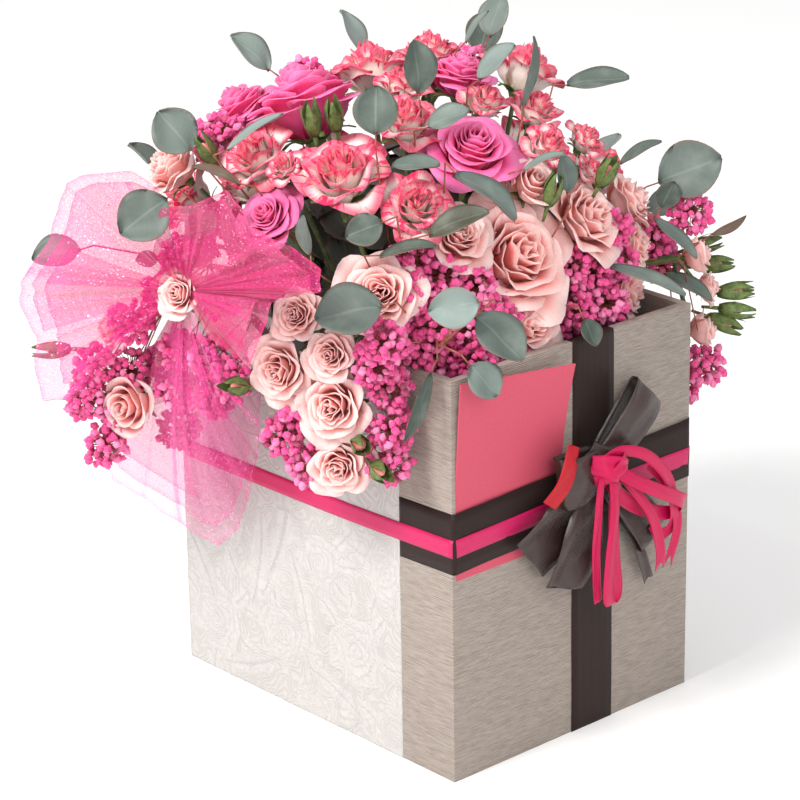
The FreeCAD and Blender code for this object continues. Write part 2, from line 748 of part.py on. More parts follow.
# Each wing of tulle is a thin flat fan: corners as (x, y, rise), in order round it.
TULLE = {
    "tulle_left": [(-196, 56, 10), (-196, 56, 62), (-204, 63, 114), (-231, 87, 112),
                   (-262, 115, 36), (-252, 106, -40), (-234, 90, -38)],
    "tulle_centre": [(-208, 40, 34), (-208, 30, 64), (-208, -4, 106), (-208, -38, 122),
                     (-208, -62, 104), (-208, -124, 88), (-208, -78, 60),
                     (-208, -54, 12), (-208, -8, 24)],
    "tulle_drop": [(-140, 28, -58), (-135, 14, -84), (-131, 30, -112), (-127, 50, -148),
                   (-124, 80, -170), (-125, 106, -166), (-133, 190, -150),
                   (-139, 180, -110), (-144, 100, -100), (-146, 60, -90)],
}


def make_tulle():
    for node, corners in TULLE.items():
        points = [over_rim(*corner) for corner in corners]
        centre = sum(points, Vector()) * (1.0 / len(points))
        normal = Vector()
        for start, end in zip(points, points[1:] + points[:1]):
            normal += (start - centre).cross(end - centre)
        normal.normalize()
        flat = [point - normal * normal.dot(point - centre) for point in points]
        face = Part.Face(Part.makePolygon(flat + flat[:1]))
        item = doc.addObject("Part::Feature", node)
        item.Shape = face.extrude(normal * size("tulle"))
        keep(item, node)


# ---------------------------------------------------------------- build and write


def check_and_write():
    doc.recompute()
    for item in doc.Objects:
        if "Invalid" in item.State or "Error" in item.State:
            raise RuntimeError(f"{item.Label}: {item.State}")
    for item in nodes:
        shape = item.Shape
        if shape.isNull() or not shape.isValid() or not shape.Solids:
            raise RuntimeError(f"{item.Label}: no valid solid")
    for item in nodes:
        item.Shape.exportStep(f"parts/{item.Label}.step")
    print(len(nodes), "nodes,", sum(len(item.Shape.Solids) for item in nodes), "solids")


make_boards()
make_papers()
make_riser()
make_upright_ribbon()
make_brown_band()
make_pink_band()
make_bow()
make_card()
make_liner()
make_flowers()
make_gypsophila()
make_eucalyptus()
make_foliage()
make_stems()
make_tulle()
check_and_write()
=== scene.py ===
"""Flower box: the looks of the box, its ribbons, card and bouquet, in the part's frame."""
import math
import random

import bmesh
import bpy
import numpy as np
from mathutils import Matrix, Vector, noise


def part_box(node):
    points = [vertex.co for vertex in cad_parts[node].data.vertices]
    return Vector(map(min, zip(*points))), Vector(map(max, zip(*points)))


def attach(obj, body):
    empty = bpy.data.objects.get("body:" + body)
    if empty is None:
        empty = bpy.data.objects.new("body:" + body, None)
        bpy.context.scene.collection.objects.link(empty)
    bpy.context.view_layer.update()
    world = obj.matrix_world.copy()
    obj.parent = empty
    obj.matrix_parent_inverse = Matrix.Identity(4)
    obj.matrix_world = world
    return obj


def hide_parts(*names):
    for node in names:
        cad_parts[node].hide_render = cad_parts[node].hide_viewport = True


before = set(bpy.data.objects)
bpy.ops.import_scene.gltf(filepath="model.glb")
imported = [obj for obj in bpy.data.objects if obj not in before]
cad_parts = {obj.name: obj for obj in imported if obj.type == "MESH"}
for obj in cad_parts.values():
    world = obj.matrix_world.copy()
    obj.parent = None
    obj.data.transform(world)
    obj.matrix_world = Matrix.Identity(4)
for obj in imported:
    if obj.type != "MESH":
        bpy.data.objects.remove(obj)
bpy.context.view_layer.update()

MM = 0.001
UP = Vector((0, 0, 1))
GOLDEN = math.radians(137.508)
FIFTH_TURN = math.radians(72)
# Random spins are drawn from this range, in radians.
ANY_SPIN = (0, 6.28)

# ---------------------------------------------------------------- node groups


def add(tree, kind, **values):
    item = tree.nodes.new(kind)
    for key, value in values.items():
        setattr(item, key, value)
    return item


def join(tree, source, target):
    tree.links.new(source, target)


def calc(tree, operation, first, second=None, clamp=False):
    """A maths node: each operand is a socket or a number."""
    item = add(tree, "ShaderNodeMath", operation=operation, use_clamp=clamp)
    for index, operand in enumerate((first, second)):
        if operand is None:
            continue
        if isinstance(operand, (int, float)):
            item.inputs[index].default_value = operand
        else:
            join(tree, operand, item.inputs[index])
    return item.outputs[0]


def mix(tree, factor, first, second):
    """First colour where the factor is 0, second where it is 1."""
    item = add(tree, "ShaderNodeMix", data_type="RGBA")
    for socket, value in ((item.inputs["Factor"], factor), (item.inputs[6], first),
                          (item.inputs[7], second)):
        if isinstance(value, (int, float)):
            socket.default_value = value
        elif isinstance(value, tuple):
            socket.default_value = (*value, 1.0)
        else:
            join(tree, value, socket)
    return item.outputs[2]


def ramp(tree, value, low, high):
    """0 below low, 1 above high, smooth between; low above high turns it round."""
    item = add(tree, "ShaderNodeMapRange", interpolation_type="SMOOTHSTEP")
    item.inputs["From Min"].default_value = low
    item.inputs["From Max"].default_value = high
    join(tree, value, item.inputs["Value"])
    return item.outputs["Result"]


def times(tree, first, second):
    return calc(tree, "MULTIPLY", first, second)


def plus(tree, first, second):
    return calc(tree, "ADD", first, second)


def read(tree, name):
    """A value that the mesh carries at each of its points."""
    return add(tree, "ShaderNodeAttribute", attribute_name=name).outputs["Fac"]


def vector_of(tree, *parts):
    """A vector of up to three sockets or numbers."""
    item = add(tree, "ShaderNodeCombineXYZ")
    for socket, part in zip(item.inputs, parts):
        if isinstance(part, (int, float)):
            socket.default_value = part
        else:
            join(tree, part, socket)
    return item.outputs[0]


def noise_of(tree, vector, scale, detail=2.0, rough=0.5):
    """Cloudy noise from 0 to 1, scale clouds to the metre."""
    item = add(tree, "ShaderNodeTexNoise")
    item.inputs["Scale"].default_value = scale
    item.inputs["Detail"].default_value = detail
    item.inputs["Roughness"].default_value = rough
    join(tree, vector, item.inputs["Vector"])
    return item.outputs["Fac"]


def object_place(tree):
    return add(tree, "ShaderNodeTexCoord").outputs["Object"]


def group(name, inputs, outputs):
    """A node group: inputs are (name, kind, default) and outputs (name, kind)."""
    tree = bpy.data.node_groups.new(name, "ShaderNodeTree")
    for title, kind, default in inputs:
        socket = tree.interface.new_socket(title, in_out="INPUT", socket_type=kind)
        socket.default_value = default
    for title, kind in outputs:
        tree.interface.new_socket(title, in_out="OUTPUT", socket_type=kind)
    return tree, add(tree, "NodeGroupInput").outputs, add(tree, "NodeGroupOutput").inputs


FLOAT = "NodeSocketFloat"
COLOR = "NodeSocketColor"
VECTOR = "NodeSocketVector"
WHITE = (1, 1, 1, 1)


def make_petal_group():
    """Petal colour from heart to rim, with streaks that run up each petal."""
    tree, given, out = group(
        "Petal", [("Heart", COLOR, WHITE), ("Outer", COLOR, WHITE), ("Base", COLOR, WHITE),
                  ("Edge", COLOR, WHITE), ("Edge Amount", FLOAT, 0.5),
                  ("Streak", COLOR, WHITE), ("Streak Amount", FLOAT, 0.0),
                  ("Streak Cover", FLOAT, 0.5)],
        [("Color", COLOR), ("Height", FLOAT)])
    across, along = read(tree, "across"), read(tree, "along")
    depth, tint = read(tree, "depth"), read(tree, "tint")
    color = mix(tree, ramp(tree, depth, 0.0, 0.85), given["Heart"], given["Outer"])
    color = mix(tree, ramp(tree, along, 0.62, 0.12), color, given["Base"])
    side = times(tree, calc(tree, "ABSOLUTE", across), 0.16)
    rim = ramp(tree, plus(tree, along, side), 0.80, 1.02)
    color = mix(tree, times(tree, rim, given["Edge Amount"]), color, given["Edge"])
    spot = vector_of(tree, times(tree, across, 2.6), times(tree, along, 0.7),
                     times(tree, tint, 31.0))
    long_noise = noise_of(tree, spot, 2.3, 5.0, 0.68)
    cover = calc(tree, "SUBTRACT", 0.82, times(tree, given["Streak Cover"], 0.5))
    cover = plus(tree, cover, times(tree, ramp(tree, along, 1.0, 0.45), 0.12))
    streak = ramp(tree, calc(tree, "SUBTRACT", long_noise, cover), -0.03, 0.07)
    streak = times(tree, streak, given["Streak Amount"])
    color = mix(tree, streak, color, given["Streak"])
    fine = vector_of(tree, times(tree, across, 26.0), along, times(tree, tint, 17.0))
    veins = noise_of(tree, fine, 1.6, 2.0)
    shade = add(tree, "ShaderNodeHueSaturation")
    shade.inputs["Saturation"].default_value = 1.0
    level = plus(tree, times(tree, tint, 0.22), times(tree, veins, 0.24))
    join(tree, plus(tree, level, 0.77), shade.inputs["Value"])
    join(tree, color, shade.inputs["Color"])
    join(tree, shade.outputs[0], out["Color"])
    join(tree, veins, out["Height"])
    return tree


# Leaf colour by tone: brown, dark green, mid green and silver.
LEAF_LADDER = [(0.0, (0.16, 0.090, 0.060)), (0.22, (0.060, 0.070, 0.048)),
               (0.35, (0.052, 0.074, 0.058)), (0.6, (0.105, 0.135, 0.118)),
               (0.8, (0.18, 0.230, 0.208)), (1.0, (0.28, 0.345, 0.325))]
LEAF_POWDER = (0.62, 0.68, 0.62)
LEAF_RIM = (0.25, 0.12, 0.08)


def make_leaf_group():
    """Leaf colour by tone, with a pale midrib and side veins."""
    tree, given, out = group(
        "Leaf", [("Vein", COLOR, WHITE), ("Vein Amount", FLOAT, 0.3), ("Powder", FLOAT, 0.2)],
        [("Color", COLOR), ("Height", FLOAT)])
    across, along, tone = read(tree, "across"), read(tree, "along"), read(tree, "tint")
    tones = add(tree, "ShaderNodeValToRGB")
    ladder = tones.color_ramp
    ladder.elements[0].position = 0.0
    ladder.elements[1].position = 1.0
    for position, _ in LEAF_LADDER[1:-1]:
        ladder.elements.new(position)
    for element, (_, color) in zip(ladder.elements, LEAF_LADDER):
        element.color = (*color, 1.0)
    join(tree, tone, tones.inputs["Fac"])
    side = calc(tree, "ABSOLUTE", across)
    midrib = ramp(tree, side, 0.085, 0.02)
    wave = calc(tree, "SUBTRACT", times(tree, along, 9.0), times(tree, side, 2.4))
    saw = calc(tree, "ABSOLUTE", calc(tree, "SUBTRACT", calc(tree, "FRACT", wave), 0.5))
    branches = times(tree, ramp(tree, saw, 0.075, 0.02), 0.35)
    veins = calc(tree, "MAXIMUM", midrib, branches)
    color = mix(tree, times(tree, veins, given["Vein Amount"]),
                tones.outputs["Color"], given["Vein"])
    dust = noise_of(tree, object_place(tree), 60.0, 3.0, 0.5)
    color = mix(tree, times(tree, ramp(tree, dust, 0.45, 0.75), given["Powder"]),
                color, LEAF_POWDER)
    color = mix(tree, times(tree, ramp(tree, side, 0.86, 1.0), 0.35), color, LEAF_RIM)
    join(tree, color, out["Color"])
    join(tree, plus(tree, times(tree, veins, -0.6), times(tree, dust, 0.25)), out["Height"])
    return tree


# Fibres of a ribbed stuff: how many to the metre across the ribs, and along them.
FIBRES = (2300, 105, 105)


def make_rib_group():
    """Fine parallel ribs across the vector's first axis, slightly uneven."""
    tree, given, out = group(
        "Ribs", [("Vector", VECTOR, (0, 0, 0)), ("Pitch", FLOAT, 0.001),
                 ("Unevenness", FLOAT, 0.3)],
        [("Height", FLOAT), ("Mottle", FLOAT)])
    split = add(tree, "ShaderNodeSeparateXYZ")
    join(tree, given["Vector"], split.inputs[0])
    stretched = add(tree, "ShaderNodeVectorMath", operation="MULTIPLY")
    join(tree, given["Vector"], stretched.inputs[0])
    stretched.inputs[1].default_value = FIBRES
    wobble = noise_of(tree, stretched.outputs[0], 1.0, 3.0, 0.6)
    phase = calc(tree, "DIVIDE", split.outputs[0], given["Pitch"])
    wobbled = plus(tree, phase, times(tree, wobble, given["Unevenness"]))
    wave = calc(tree, "SINE", times(tree, wobbled, 2 * math.pi))
    height = plus(tree, times(tree, wave, 0.35), times(tree, wobble, given["Unevenness"]))
    join(tree, height, out["Height"])
    join(tree, wobble, out["Mottle"])
    return tree


# Groups that several materials use: petals, leaves, and ribbed paper and ribbon.
PETAL = make_petal_group()
LEAF = make_leaf_group()
RIBS = make_rib_group()

# ---------------------------------------------------------------- materials


def material(name, rough=0.6, color=(0.8, 0.8, 0.8), **sockets):
    item = bpy.data.materials.new(name)
    item.use_nodes = True
    tree = item.node_tree
    shader = tree.nodes["Principled BSDF"]
    shader.inputs["Base Color"].default_value = (*color, 1.0)
    shader.inputs["Roughness"].default_value = rough
    for key, value in sockets.items():
        shader.inputs[key.replace("_", " ")].default_value = value
    return item, tree, shader


def bump(tree, shader, height, depth, strength=1.0):
    item = add(tree, "ShaderNodeBump")
    item.inputs["Distance"].default_value = depth
    item.inputs["Strength"].default_value = strength
    join(tree, height, item.inputs["Height"])
    join(tree, item.outputs[0], shader.inputs["Normal"])


def use_group(tree, which, **values):
    item = add(tree, "ShaderNodeGroup")
    item.node_tree = which
    for key, value in values.items():
        socket = item.inputs[key.replace("_", " ")]
        if hasattr(value, "is_linked"):
            join(tree, value, socket)
        elif isinstance(value, tuple) and len(value) == 3:
            socket.default_value = (*value, 1.0)
        else:
            socket.default_value = value
    return item.outputs


def petal_material(name, glow=0.40, **colors):
    """Petals that let light through: glow is how much."""
    item, tree, shader = material(name, 0.55, Subsurface_Weight=glow,
                                  Subsurface_Scale=0.004, Sheen_Weight=0.06)
    shader.inputs["Subsurface Radius"].default_value = (1.0, 0.45, 0.40)
    petal = use_group(tree, PETAL, **colors)
    join(tree, petal["Color"], shader.inputs["Base Color"])
    bump(tree, shader, petal["Height"], 0.6 * MM, 0.5)
    return item


def leaf_material(name, rough, **values):
    item, tree, shader = material(name, rough, Specular_IOR_Level=0.4)
    blade = use_group(tree, LEAF, **values)
    join(tree, blade["Color"], shader.inputs["Base Color"])
    bump(tree, shader, blade["Height"], 0.4 * MM, 0.6)
    return item


def speckled(name, dark, light, rough, scale, depth):
    """A plain stuff whose colour drifts between two tones, with a fine grain."""
    item, tree, shader = material(name, rough, light)
    grain = noise_of(tree, object_place(tree), scale, 5.0, 0.65)
    join(tree, mix(tree, ramp(tree, grain, 0.3, 0.7), dark, light),
         shader.inputs["Base Color"])
    bump(tree, shader, grain, depth)
    return item


def turned(tree, axes):
    """The object's own place with its axes in another order, first axis across the ribs."""
    split = add(tree, "ShaderNodeSeparateXYZ")
    join(tree, object_place(tree), split.inputs[0])
    return vector_of(tree, *(split.outputs[axis] for axis in axes))


LINEN_PITCH = 1.25 * MM
LINEN_RELIEF = 0.32 * MM
LINEN_SHADE = (0.185, 0.148, 0.124)
LINEN_THREAD = (0.36, 0.300, 0.260)
# Painted highlight colour for the crests of the ribs.
LINEN_CREST_HIGHLIGHT = (0.46, 0.40, 0.350)


def linen_material():
    """Paper printed and ribbed like taupe linen, its ribs level round the box, with painted
    highlight on the rib crests and painted shade in the grooves.
    """
    item, tree, shader = material("taupe_linen_paper", 0.72)
    ribs = use_group(tree, RIBS, Vector=turned(tree, (2, 0, 1)), Pitch=LINEN_PITCH,
                     Unevenness=0.85)
    fibres = ramp(tree, ribs["Mottle"], 0.28, 0.72)
    color = mix(tree, fibres, LINEN_SHADE, LINEN_THREAD)
    # Painted highlight and shade: the higher a rib, the lighter its colour.
    crest_highlight = ramp(tree, ribs["Height"], -0.1, 0.8)
    join(tree, mix(tree, times(tree, crest_highlight, 0.46), color, LINEN_CREST_HIGHLIGHT),
         shader.inputs["Base Color"])
    bump(tree, shader, ribs["Height"], LINEN_RELIEF)
    return item


SATIN_RELIEF = 0.12 * MM


def satin(name, dark, light, rough, pitch, creases=0.0, **sockets):
    """Ribbon satin with fine ribs along its length; the strip's own layers place them. Dark is
    painted shade in the rib grooves and light is painted sheen on the rib crests.

    Creases is the depth of the soft dents of a handled ribbon.
    """
    item, tree, shader = material(name, rough, light, **sockets)
    place = vector_of(tree, read(tree, "strip_side"), read(tree, "strip_run"), 0.0)
    ribs = use_group(tree, RIBS, Vector=place, Pitch=pitch, Unevenness=0.35)
    # Painted sheen and shade: the rib crests take the light tone, the grooves the dark one.
    crest_highlight = ramp(tree, ribs["Height"], -0.3, 0.6)
    join(tree, mix(tree, crest_highlight, dark, light), shader.inputs["Base Color"])
    height = times(tree, ribs["Height"], SATIN_RELIEF)
    if creases:
        dents = noise_of(tree, object_place(tree), 52.0, 1.0, 0.4)
        height = plus(tree, height, times(tree, dents, creases))
    bump(tree, shader, height, 1.0)
    return item


# The sunk ground in painted shade, the raised embossing in painted light, and the painted
# highlight on the line crests; the grain is the paper's own.
IVORY_SHADED_GROUND = (0.430, 0.408, 0.385)
IVORY_LIT_RAISED = (0.485, 0.464, 0.442)
IVORY_LINE_HIGHLIGHT = (0.530, 0.512, 0.494)
IVORY_GRAIN = (0.58, 0.56, 0.54)
IVORY_LINES = 0.16 * MM


def ivory_material():
    """Pearl paper whose embossing is filled with fine curling lines; its raised parts are painted
    lighter and its sunk ground darker, as light and shade, and the crests of the lines carry a
    painted highlight.
    """
    item, tree, shader = material("pearl_ivory_paper", 0.42, Sheen_Weight=0.1,
                                  Coat_Weight=0.15, Coat_Roughness=0.4)
    place = object_place(tree)
    grain = noise_of(tree, place, 900.0, 3.0)
    field = noise_of(tree, place, 36.0, 1.6, 0.42)
    raised = ramp(tree, read(tree, "relief"), 0.05, 0.75)
    turns = plus(tree, times(tree, field, 19.0), times(tree, raised, 0.8))
    lines = calc(tree, "SINE", times(tree, turns, 2 * math.pi))
    # Painted highlight along the crests of the curling lines.
    crest_highlight = times(tree, ramp(tree, lines, -0.6, 0.9), 0.55)
    # Painted shade: the sunk ground is darker and the raised embossing lighter, by the relief's
    # height.
    color = mix(tree, raised, IVORY_SHADED_GROUND, IVORY_LIT_RAISED)
    color = mix(tree, crest_highlight, color, IVORY_LINE_HIGHLIGHT)
    color = mix(tree, times(tree, grain, 0.12), color, IVORY_GRAIN)
    join(tree, color, shader.inputs["Base Color"])
    height = plus(tree, times(tree, grain, 0.05 * MM), times(tree, lines, IVORY_LINES))
    bump(tree, shader, height, 1.0)
    return item


BLOSSOM_DEEP = (0.84, 0.020, 0.22)
BLOSSOM_BRIGHT = (1.0, 0.12, 0.40)
BLOSSOM_PALE = (1.0, 0.30, 0.56)
BLOSSOM_FADED = (0.22, 0.05, 0.05)


def blossom_material():
    """Dyed gypsophila: small crowded petals, some faded towards brown."""
    item, tree, shader = material("dyed_gypsophila", 0.65, Sheen_Weight=0.2)
    tint = read(tree, "tint")
    crumple = noise_of(tree, object_place(tree), 900.0, 3.0, 0.6)
    color = mix(tree, ramp(tree, crumple, 0.35, 0.60), BLOSSOM_DEEP, BLOSSOM_BRIGHT)
    color = mix(tree, ramp(tree, tint, 0.55, 1.0), color, BLOSSOM_PALE)
    color = mix(tree, times(tree, ramp(tree, tint, 0.09, 0.0), 0.7), color, BLOSSOM_FADED)
    join(tree, color, shader.inputs["Base Color"])
    bump(tree, shader, crumple, 1.2 * MM)
    return item


# Holes and glitter specks of the net, to the metre.
NET_HOLES = 700.0
GLITTER_SPECKS = 330.0
TULLE_SHEER = (0.88, 0.06, 0.36)
TULLE_DENSE = (0.66, 0.004, 0.17)
TULLE_GLITTER = (0.98, 0.50, 0.72)


def tulle_material():
    """Sheer net: even tiny holes, and glitter scattered over it."""
    item, tree, shader = material("glitter_tulle", 0.35, (0.62, 0.02, 0.22),
                                  Specular_IOR_Level=0.3, Sheen_Weight=0.3)
    place = vector_of(tree, read(tree, "strip_side"), read(tree, "strip_run"), 0.0)
    net = add(tree, "ShaderNodeTexVoronoi", feature="DISTANCE_TO_EDGE")
    net.inputs["Scale"].default_value = NET_HOLES
    join(tree, place, net.inputs["Vector"])
    threads = ramp(tree, net.outputs["Distance"], 0.30, 0.10)
    dots = add(tree, "ShaderNodeTexVoronoi")
    dots.inputs["Scale"].default_value = GLITTER_SPECKS
    join(tree, place, dots.inputs["Vector"])
    speck = ramp(tree, dots.outputs["Distance"], 0.24, 0.13)
    body = read(tree, "net")
    sheer = plus(tree, times(tree, threads, 0.30), 0.20)
    sheer = calc(tree, "MULTIPLY", sheer, plus(tree, body, 0.30), clamp=True)
    sheer = plus(tree, sheer, times(tree, read(tree, "fold"), 0.34))
    join(tree, calc(tree, "MAXIMUM", sheer, times(tree, speck, 0.8)),
         shader.inputs["Alpha"])
    color = mix(tree, ramp(tree, body, 0.15, 0.75), TULLE_SHEER, TULLE_DENSE)
    color = mix(tree, speck, color, TULLE_GLITTER)
    join(tree, color, shader.inputs["Base Color"])
    join(tree, calc(tree, "SUBTRACT", 0.6, times(tree, speck, 0.4)),
         shader.inputs["Roughness"])
    join(tree, times(tree, speck, 0.7), shader.inputs["Metallic"])
    return item


# What each finish is made of: dark and light tone, roughness, and the size of its grain; on the
# satins the dark tone is painted shade in the rib grooves and the light tone painted sheen on the
# crests.
LOOK = {
    "linen": linen_material(),
    "ivory": ivory_material(),
    "board": speckled("grey_board", (0.30, 0.28, 0.26), (0.42, 0.40, 0.37), 0.9, 600.0, 5e-5),
    "riser": speckled("riser_board", (0.20, 0.15, 0.10), (0.30, 0.23, 0.16), 0.9, 500.0, 5e-5),
    "liner": speckled("liner_plastic", (0.010, 0.010, 0.011), (0.022, 0.022, 0.024), 0.35,
                      80.0, 3e-5),
    "foam": speckled("floral_foam", (0.015, 0.06, 0.02), (0.05, 0.15, 0.06), 0.95, 1500.0,
                     4e-4),
    "card": speckled("pink_card_stock", (0.560, 0.066, 0.112), (0.590, 0.076, 0.126), 0.7,
                     700.0, 1.5e-5),
    "stem": speckled("flower_stem", (0.06, 0.10, 0.03), (0.14, 0.20, 0.07), 0.55, 120.0, 1e-4),
    "twig": speckled("leaf_petiole", (0.20, 0.05, 0.03), (0.36, 0.12, 0.07), 0.55, 300.0,
                     1e-4),
    "sepal": speckled("rose_sepal", (0.055, 0.095, 0.02), (0.15, 0.21, 0.055), 0.6, 250.0, 2e-4),
    "brown": satin("brown_satin", (0.014, 0.0070, 0.0062), (0.034, 0.019, 0.017), 0.42, 0.0011,
                   Specular_IOR_Level=0.14),
    "brown_bow": satin("brown_bow_satin", (0.024, 0.012, 0.010), (0.055, 0.031, 0.026), 0.25,
                       0.0011, 0.0026, Specular_IOR_Level=0.5),
    "pink": satin("crimson_pink_ribbon", (0.44, 0.003, 0.066), (0.70, 0.012, 0.14), 0.36,
                  0.0007, Specular_IOR_Level=0.35),
    "pink_bow": satin("crimson_pink_bow", (0.44, 0.002, 0.048), (0.66, 0.005, 0.100), 0.28,
                      0.0007, 0.0006, Specular_IOR_Level=0.26),
    "red": satin("red_ribbon", (0.38, 0.002, 0.010), (0.52, 0.006, 0.020), 0.4, 0.0009,
                 Specular_IOR_Level=0.3),
    "blossom": blossom_material(),
    "tulle": tulle_material(),
    "leaf": leaf_material("eucalyptus_blade", 0.55, Vein=(0.36, 0.42, 0.37), Vein_Amount=0.16,
                          Powder=0.10),
    "rose_leaf": leaf_material("rose_blade", 0.42, Vein=(0.12, 0.20, 0.06), Vein_Amount=0.4,
                               Powder=0.02),
    "hot": petal_material("hot_pink_petals", Heart=(0.62, 0.012, 0.13),
                          Outer=(0.88, 0.085, 0.30), Base=(0.58, 0.012, 0.12),
                          Edge=(0.94, 0.20, 0.44), Edge_Amount=0.75,
                          Streak=(0.62, 0.01, 0.15), Streak_Amount=0.3, Streak_Cover=0.4),
    "striped": petal_material("striped_petals", 0.06, Heart=(1.0, 0.70, 0.62),
                              Outer=(1.0, 0.90, 0.84), Base=(1.0, 0.84, 0.70),
                              Edge=(0.78, 0.008, 0.115), Edge_Amount=0.85,
                              Streak=(0.72, 0.003, 0.085), Streak_Amount=0.97,
                              Streak_Cover=0.60),
    "pale": petal_material("pale_pink_petals", Heart=(1.0, 0.25, 0.23),
                           Outer=(1.0, 0.47, 0.44), Base=(1.0, 0.32, 0.27),
                           Edge=(1.0, 0.68, 0.65), Edge_Amount=0.7,
                           Streak=(1.0, 0.20, 0.24), Streak_Amount=0.2,
                           Streak_Cover=0.4),
}

# ---------------------------------------------------------------- mesh helpers


def layer(bm, name):
    """A value at each point of a mesh, which materials read by its name."""
    return bm.verts.layers.float.get(name) or bm.verts.layers.float.new(name)


def finished(name, bm):
    mesh = bpy.data.meshes.new(name)
    bm.to_mesh(mesh)
    bm.free()
    return mesh


def piece(name, bm, body, looks, stands_for, sharp=None):
    """A finished piece from a mesh in the frame: smooth, riding on a body.

    It stands for one CAD node; edges turned by more than sharp degrees stay crisp.
    """
    mesh = finished(name, bm)
    for look in looks:
        mesh.materials.append(LOOK[look])
    mesh.shade_smooth()
    if sharp is not None:
        mesh.set_sharp_from_angle(angle=math.radians(sharp))
    item = bpy.data.objects.new(name, mesh)
    bpy.context.scene.collection.objects.link(item)
    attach(item, body)
    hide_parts(stands_for)
    return item


def stamp(bm, template, place):
    """Add a copy of a template mesh, moved by a matrix."""
    copy = template.copy()
    copy.transform(place)
    bm.from_mesh(copy)
    bpy.data.meshes.remove(copy)


def placing(centre, forward, spin, scale):
    """A matrix that puts a template's +Z along forward."""
    turn = UP.rotation_difference(Vector(forward)).to_matrix().to_4x4()
    return (Matrix.Translation(Vector(centre)) @ turn @ Matrix.Rotation(spin, 4, "Z")
            @ Matrix.Scale(scale, 4))


# A point low inside the bouquet: leaves turn their faces away from it.
BOUQUET_HEART = np.array([-14, 12, 200]) * MM
# The bare stalk of a leaf, between its foot and its blade.
PETIOLE = 10 * MM
# Corners of loose triangles nearer than this are one.
WELD = 0.002 * MM
# Facets smaller than this, in square metres, have no direction.
SPECK = 1e-12


def islands(node):
    """The separate solids of a CAD node: for each, its points and its flat facets."""
    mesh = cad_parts[node].data
    mesh.calc_loop_triangles()
    points = np.empty(len(mesh.vertices) * 3)
    mesh.vertices.foreach_get("co", points)
    points = points.reshape(-1, 3)
    corners = np.empty(len(mesh.loop_triangles) * 3, dtype=np.int64)
    mesh.loop_triangles.foreach_get("vertices", corners)
    _, first, same = np.unique(np.round(points / WELD).astype(np.int64), axis=0,
                               return_index=True, return_inverse=True)
    tris = same.ravel()[corners].reshape(-1, 3)
    label = np.arange(len(first))
    while True:
        lowest = label[tris].min(axis=1)
        new = label.copy()
        np.minimum.at(new, tris.ravel(), np.repeat(lowest, 3))
        new = new[new]
        if (new == label).all():
            break
        label = new
    found = []
    unique = points[first]
    for mark in np.unique(label[tris[:, 0]]):
        own = tris[label[tris[:, 0]] == mark]
        found.append((unique[np.unique(own)], unique[own]))
    return found


def principal(points):
    """Mean and axes of a cloud, longest first."""
    middle = points.mean(axis=0)
    _, _, axes = np.linalg.svd(points - middle, full_matrices=False)
    return middle, axes


def bloom_frame(points, facets):
    """Centre, direction and widest radius of a cup-and-crown core."""
    normals = np.cross(facets[:, 1] - facets[:, 0], facets[:, 2] - facets[:, 0])
    areas = np.linalg.norm(normals, axis=1)
    units = normals / np.maximum(areas[:, None], SPECK)
    _, which = np.unique(np.round(units, 2), axis=0, return_inverse=True)
    sums = np.bincount(which.ravel(), weights=areas)
    forward = (units * (which.ravel() == sums.argmax())[:, None]).sum(axis=0)
    forward /= np.linalg.norm(forward)
    along = points @ forward
    cap = points[along > along.max() - 0.01 * MM].mean(axis=0)
    offset = points - cap
    rise = offset @ forward
    radial = np.linalg.norm(offset - rise[:, None] * forward, axis=1)
    wide = radial > 0.985 * radial.max()
    return cap + forward * rise[wide].mean(), forward, radial.max()


def leaf_frame(points):
    """Blade centre, tip direction, normal, length, width and stalk end of a leaf solid."""
    middle, axes = principal(points)
    along, across, normal = axes
    run, side = (points - middle) @ along, (points - middle) @ across
    near_low, near_high = run < run.min() + 3 * MM, run > run.max() - 3 * MM
    if np.ptp(side[near_high]) < np.ptp(side[near_low]):
        along, run = -along, -run
    stalk_end = points[run < run.min() + 0.5 * MM].mean(axis=0)
    tip = points[run > run.max() - 0.2 * MM].mean(axis=0)
    along = tip - stalk_end
    along -= normal * (along @ normal)
    total = np.linalg.norm(along)
    along /= total
    spread = (points - stalk_end) @ np.cross(normal, along)
    length = total - PETIOLE
    centre = stalk_end + along * (PETIOLE + length / 2)
    if normal @ (centre - BOUQUET_HEART) < 0:
        normal = -normal
    return centre, along, normal, length, np.ptp(spread), stalk_end


def shaped_grid(bm, columns, rows, shape, **values):
    """A grid laid by shape(u, v), u from -1 to 1 across and v from 0 to 1 along."""
    across, along = layer(bm, "across"), layer(bm, "along")
    extra = {layer(bm, key): value for key, value in values.items()}
    made = bmesh.ops.create_grid(bm, x_segments=columns, y_segments=rows, size=1.0)["verts"]
    for vert in made:
        u, v = vert.co.x, vert.co.y / 2 + 0.5
        vert[across], vert[along] = u, v
        for key, value in extra.items():
            vert[key] = value
        vert.co = shape(u, v)
    return made


def faces_of(verts):
    """The faces at these points, each once, in an order that is the same in every run."""
    return list(dict.fromkeys(face for vert in verts for face in vert.link_faces))


def paint(faces, look):
    """Gives faces one of the looks that their piece is made with."""
    for face in faces:
        face.material_index = look


def thicken(bm, faces, thick, look=0):
    paint(faces, look)
    bmesh.ops.solidify(bm, geom=faces, thickness=thick)


def rod(bm, segments, foot, top, length, place):
    """A stalk in a piece's second look: its radii at foot and top, and where its middle is."""
    verts = bmesh.ops.create_cone(bm, segments=segments, radius1=foot, radius2=top,
                                  depth=length, cap_ends=True, matrix=place)["verts"]
    paint(faces_of(verts), 1)


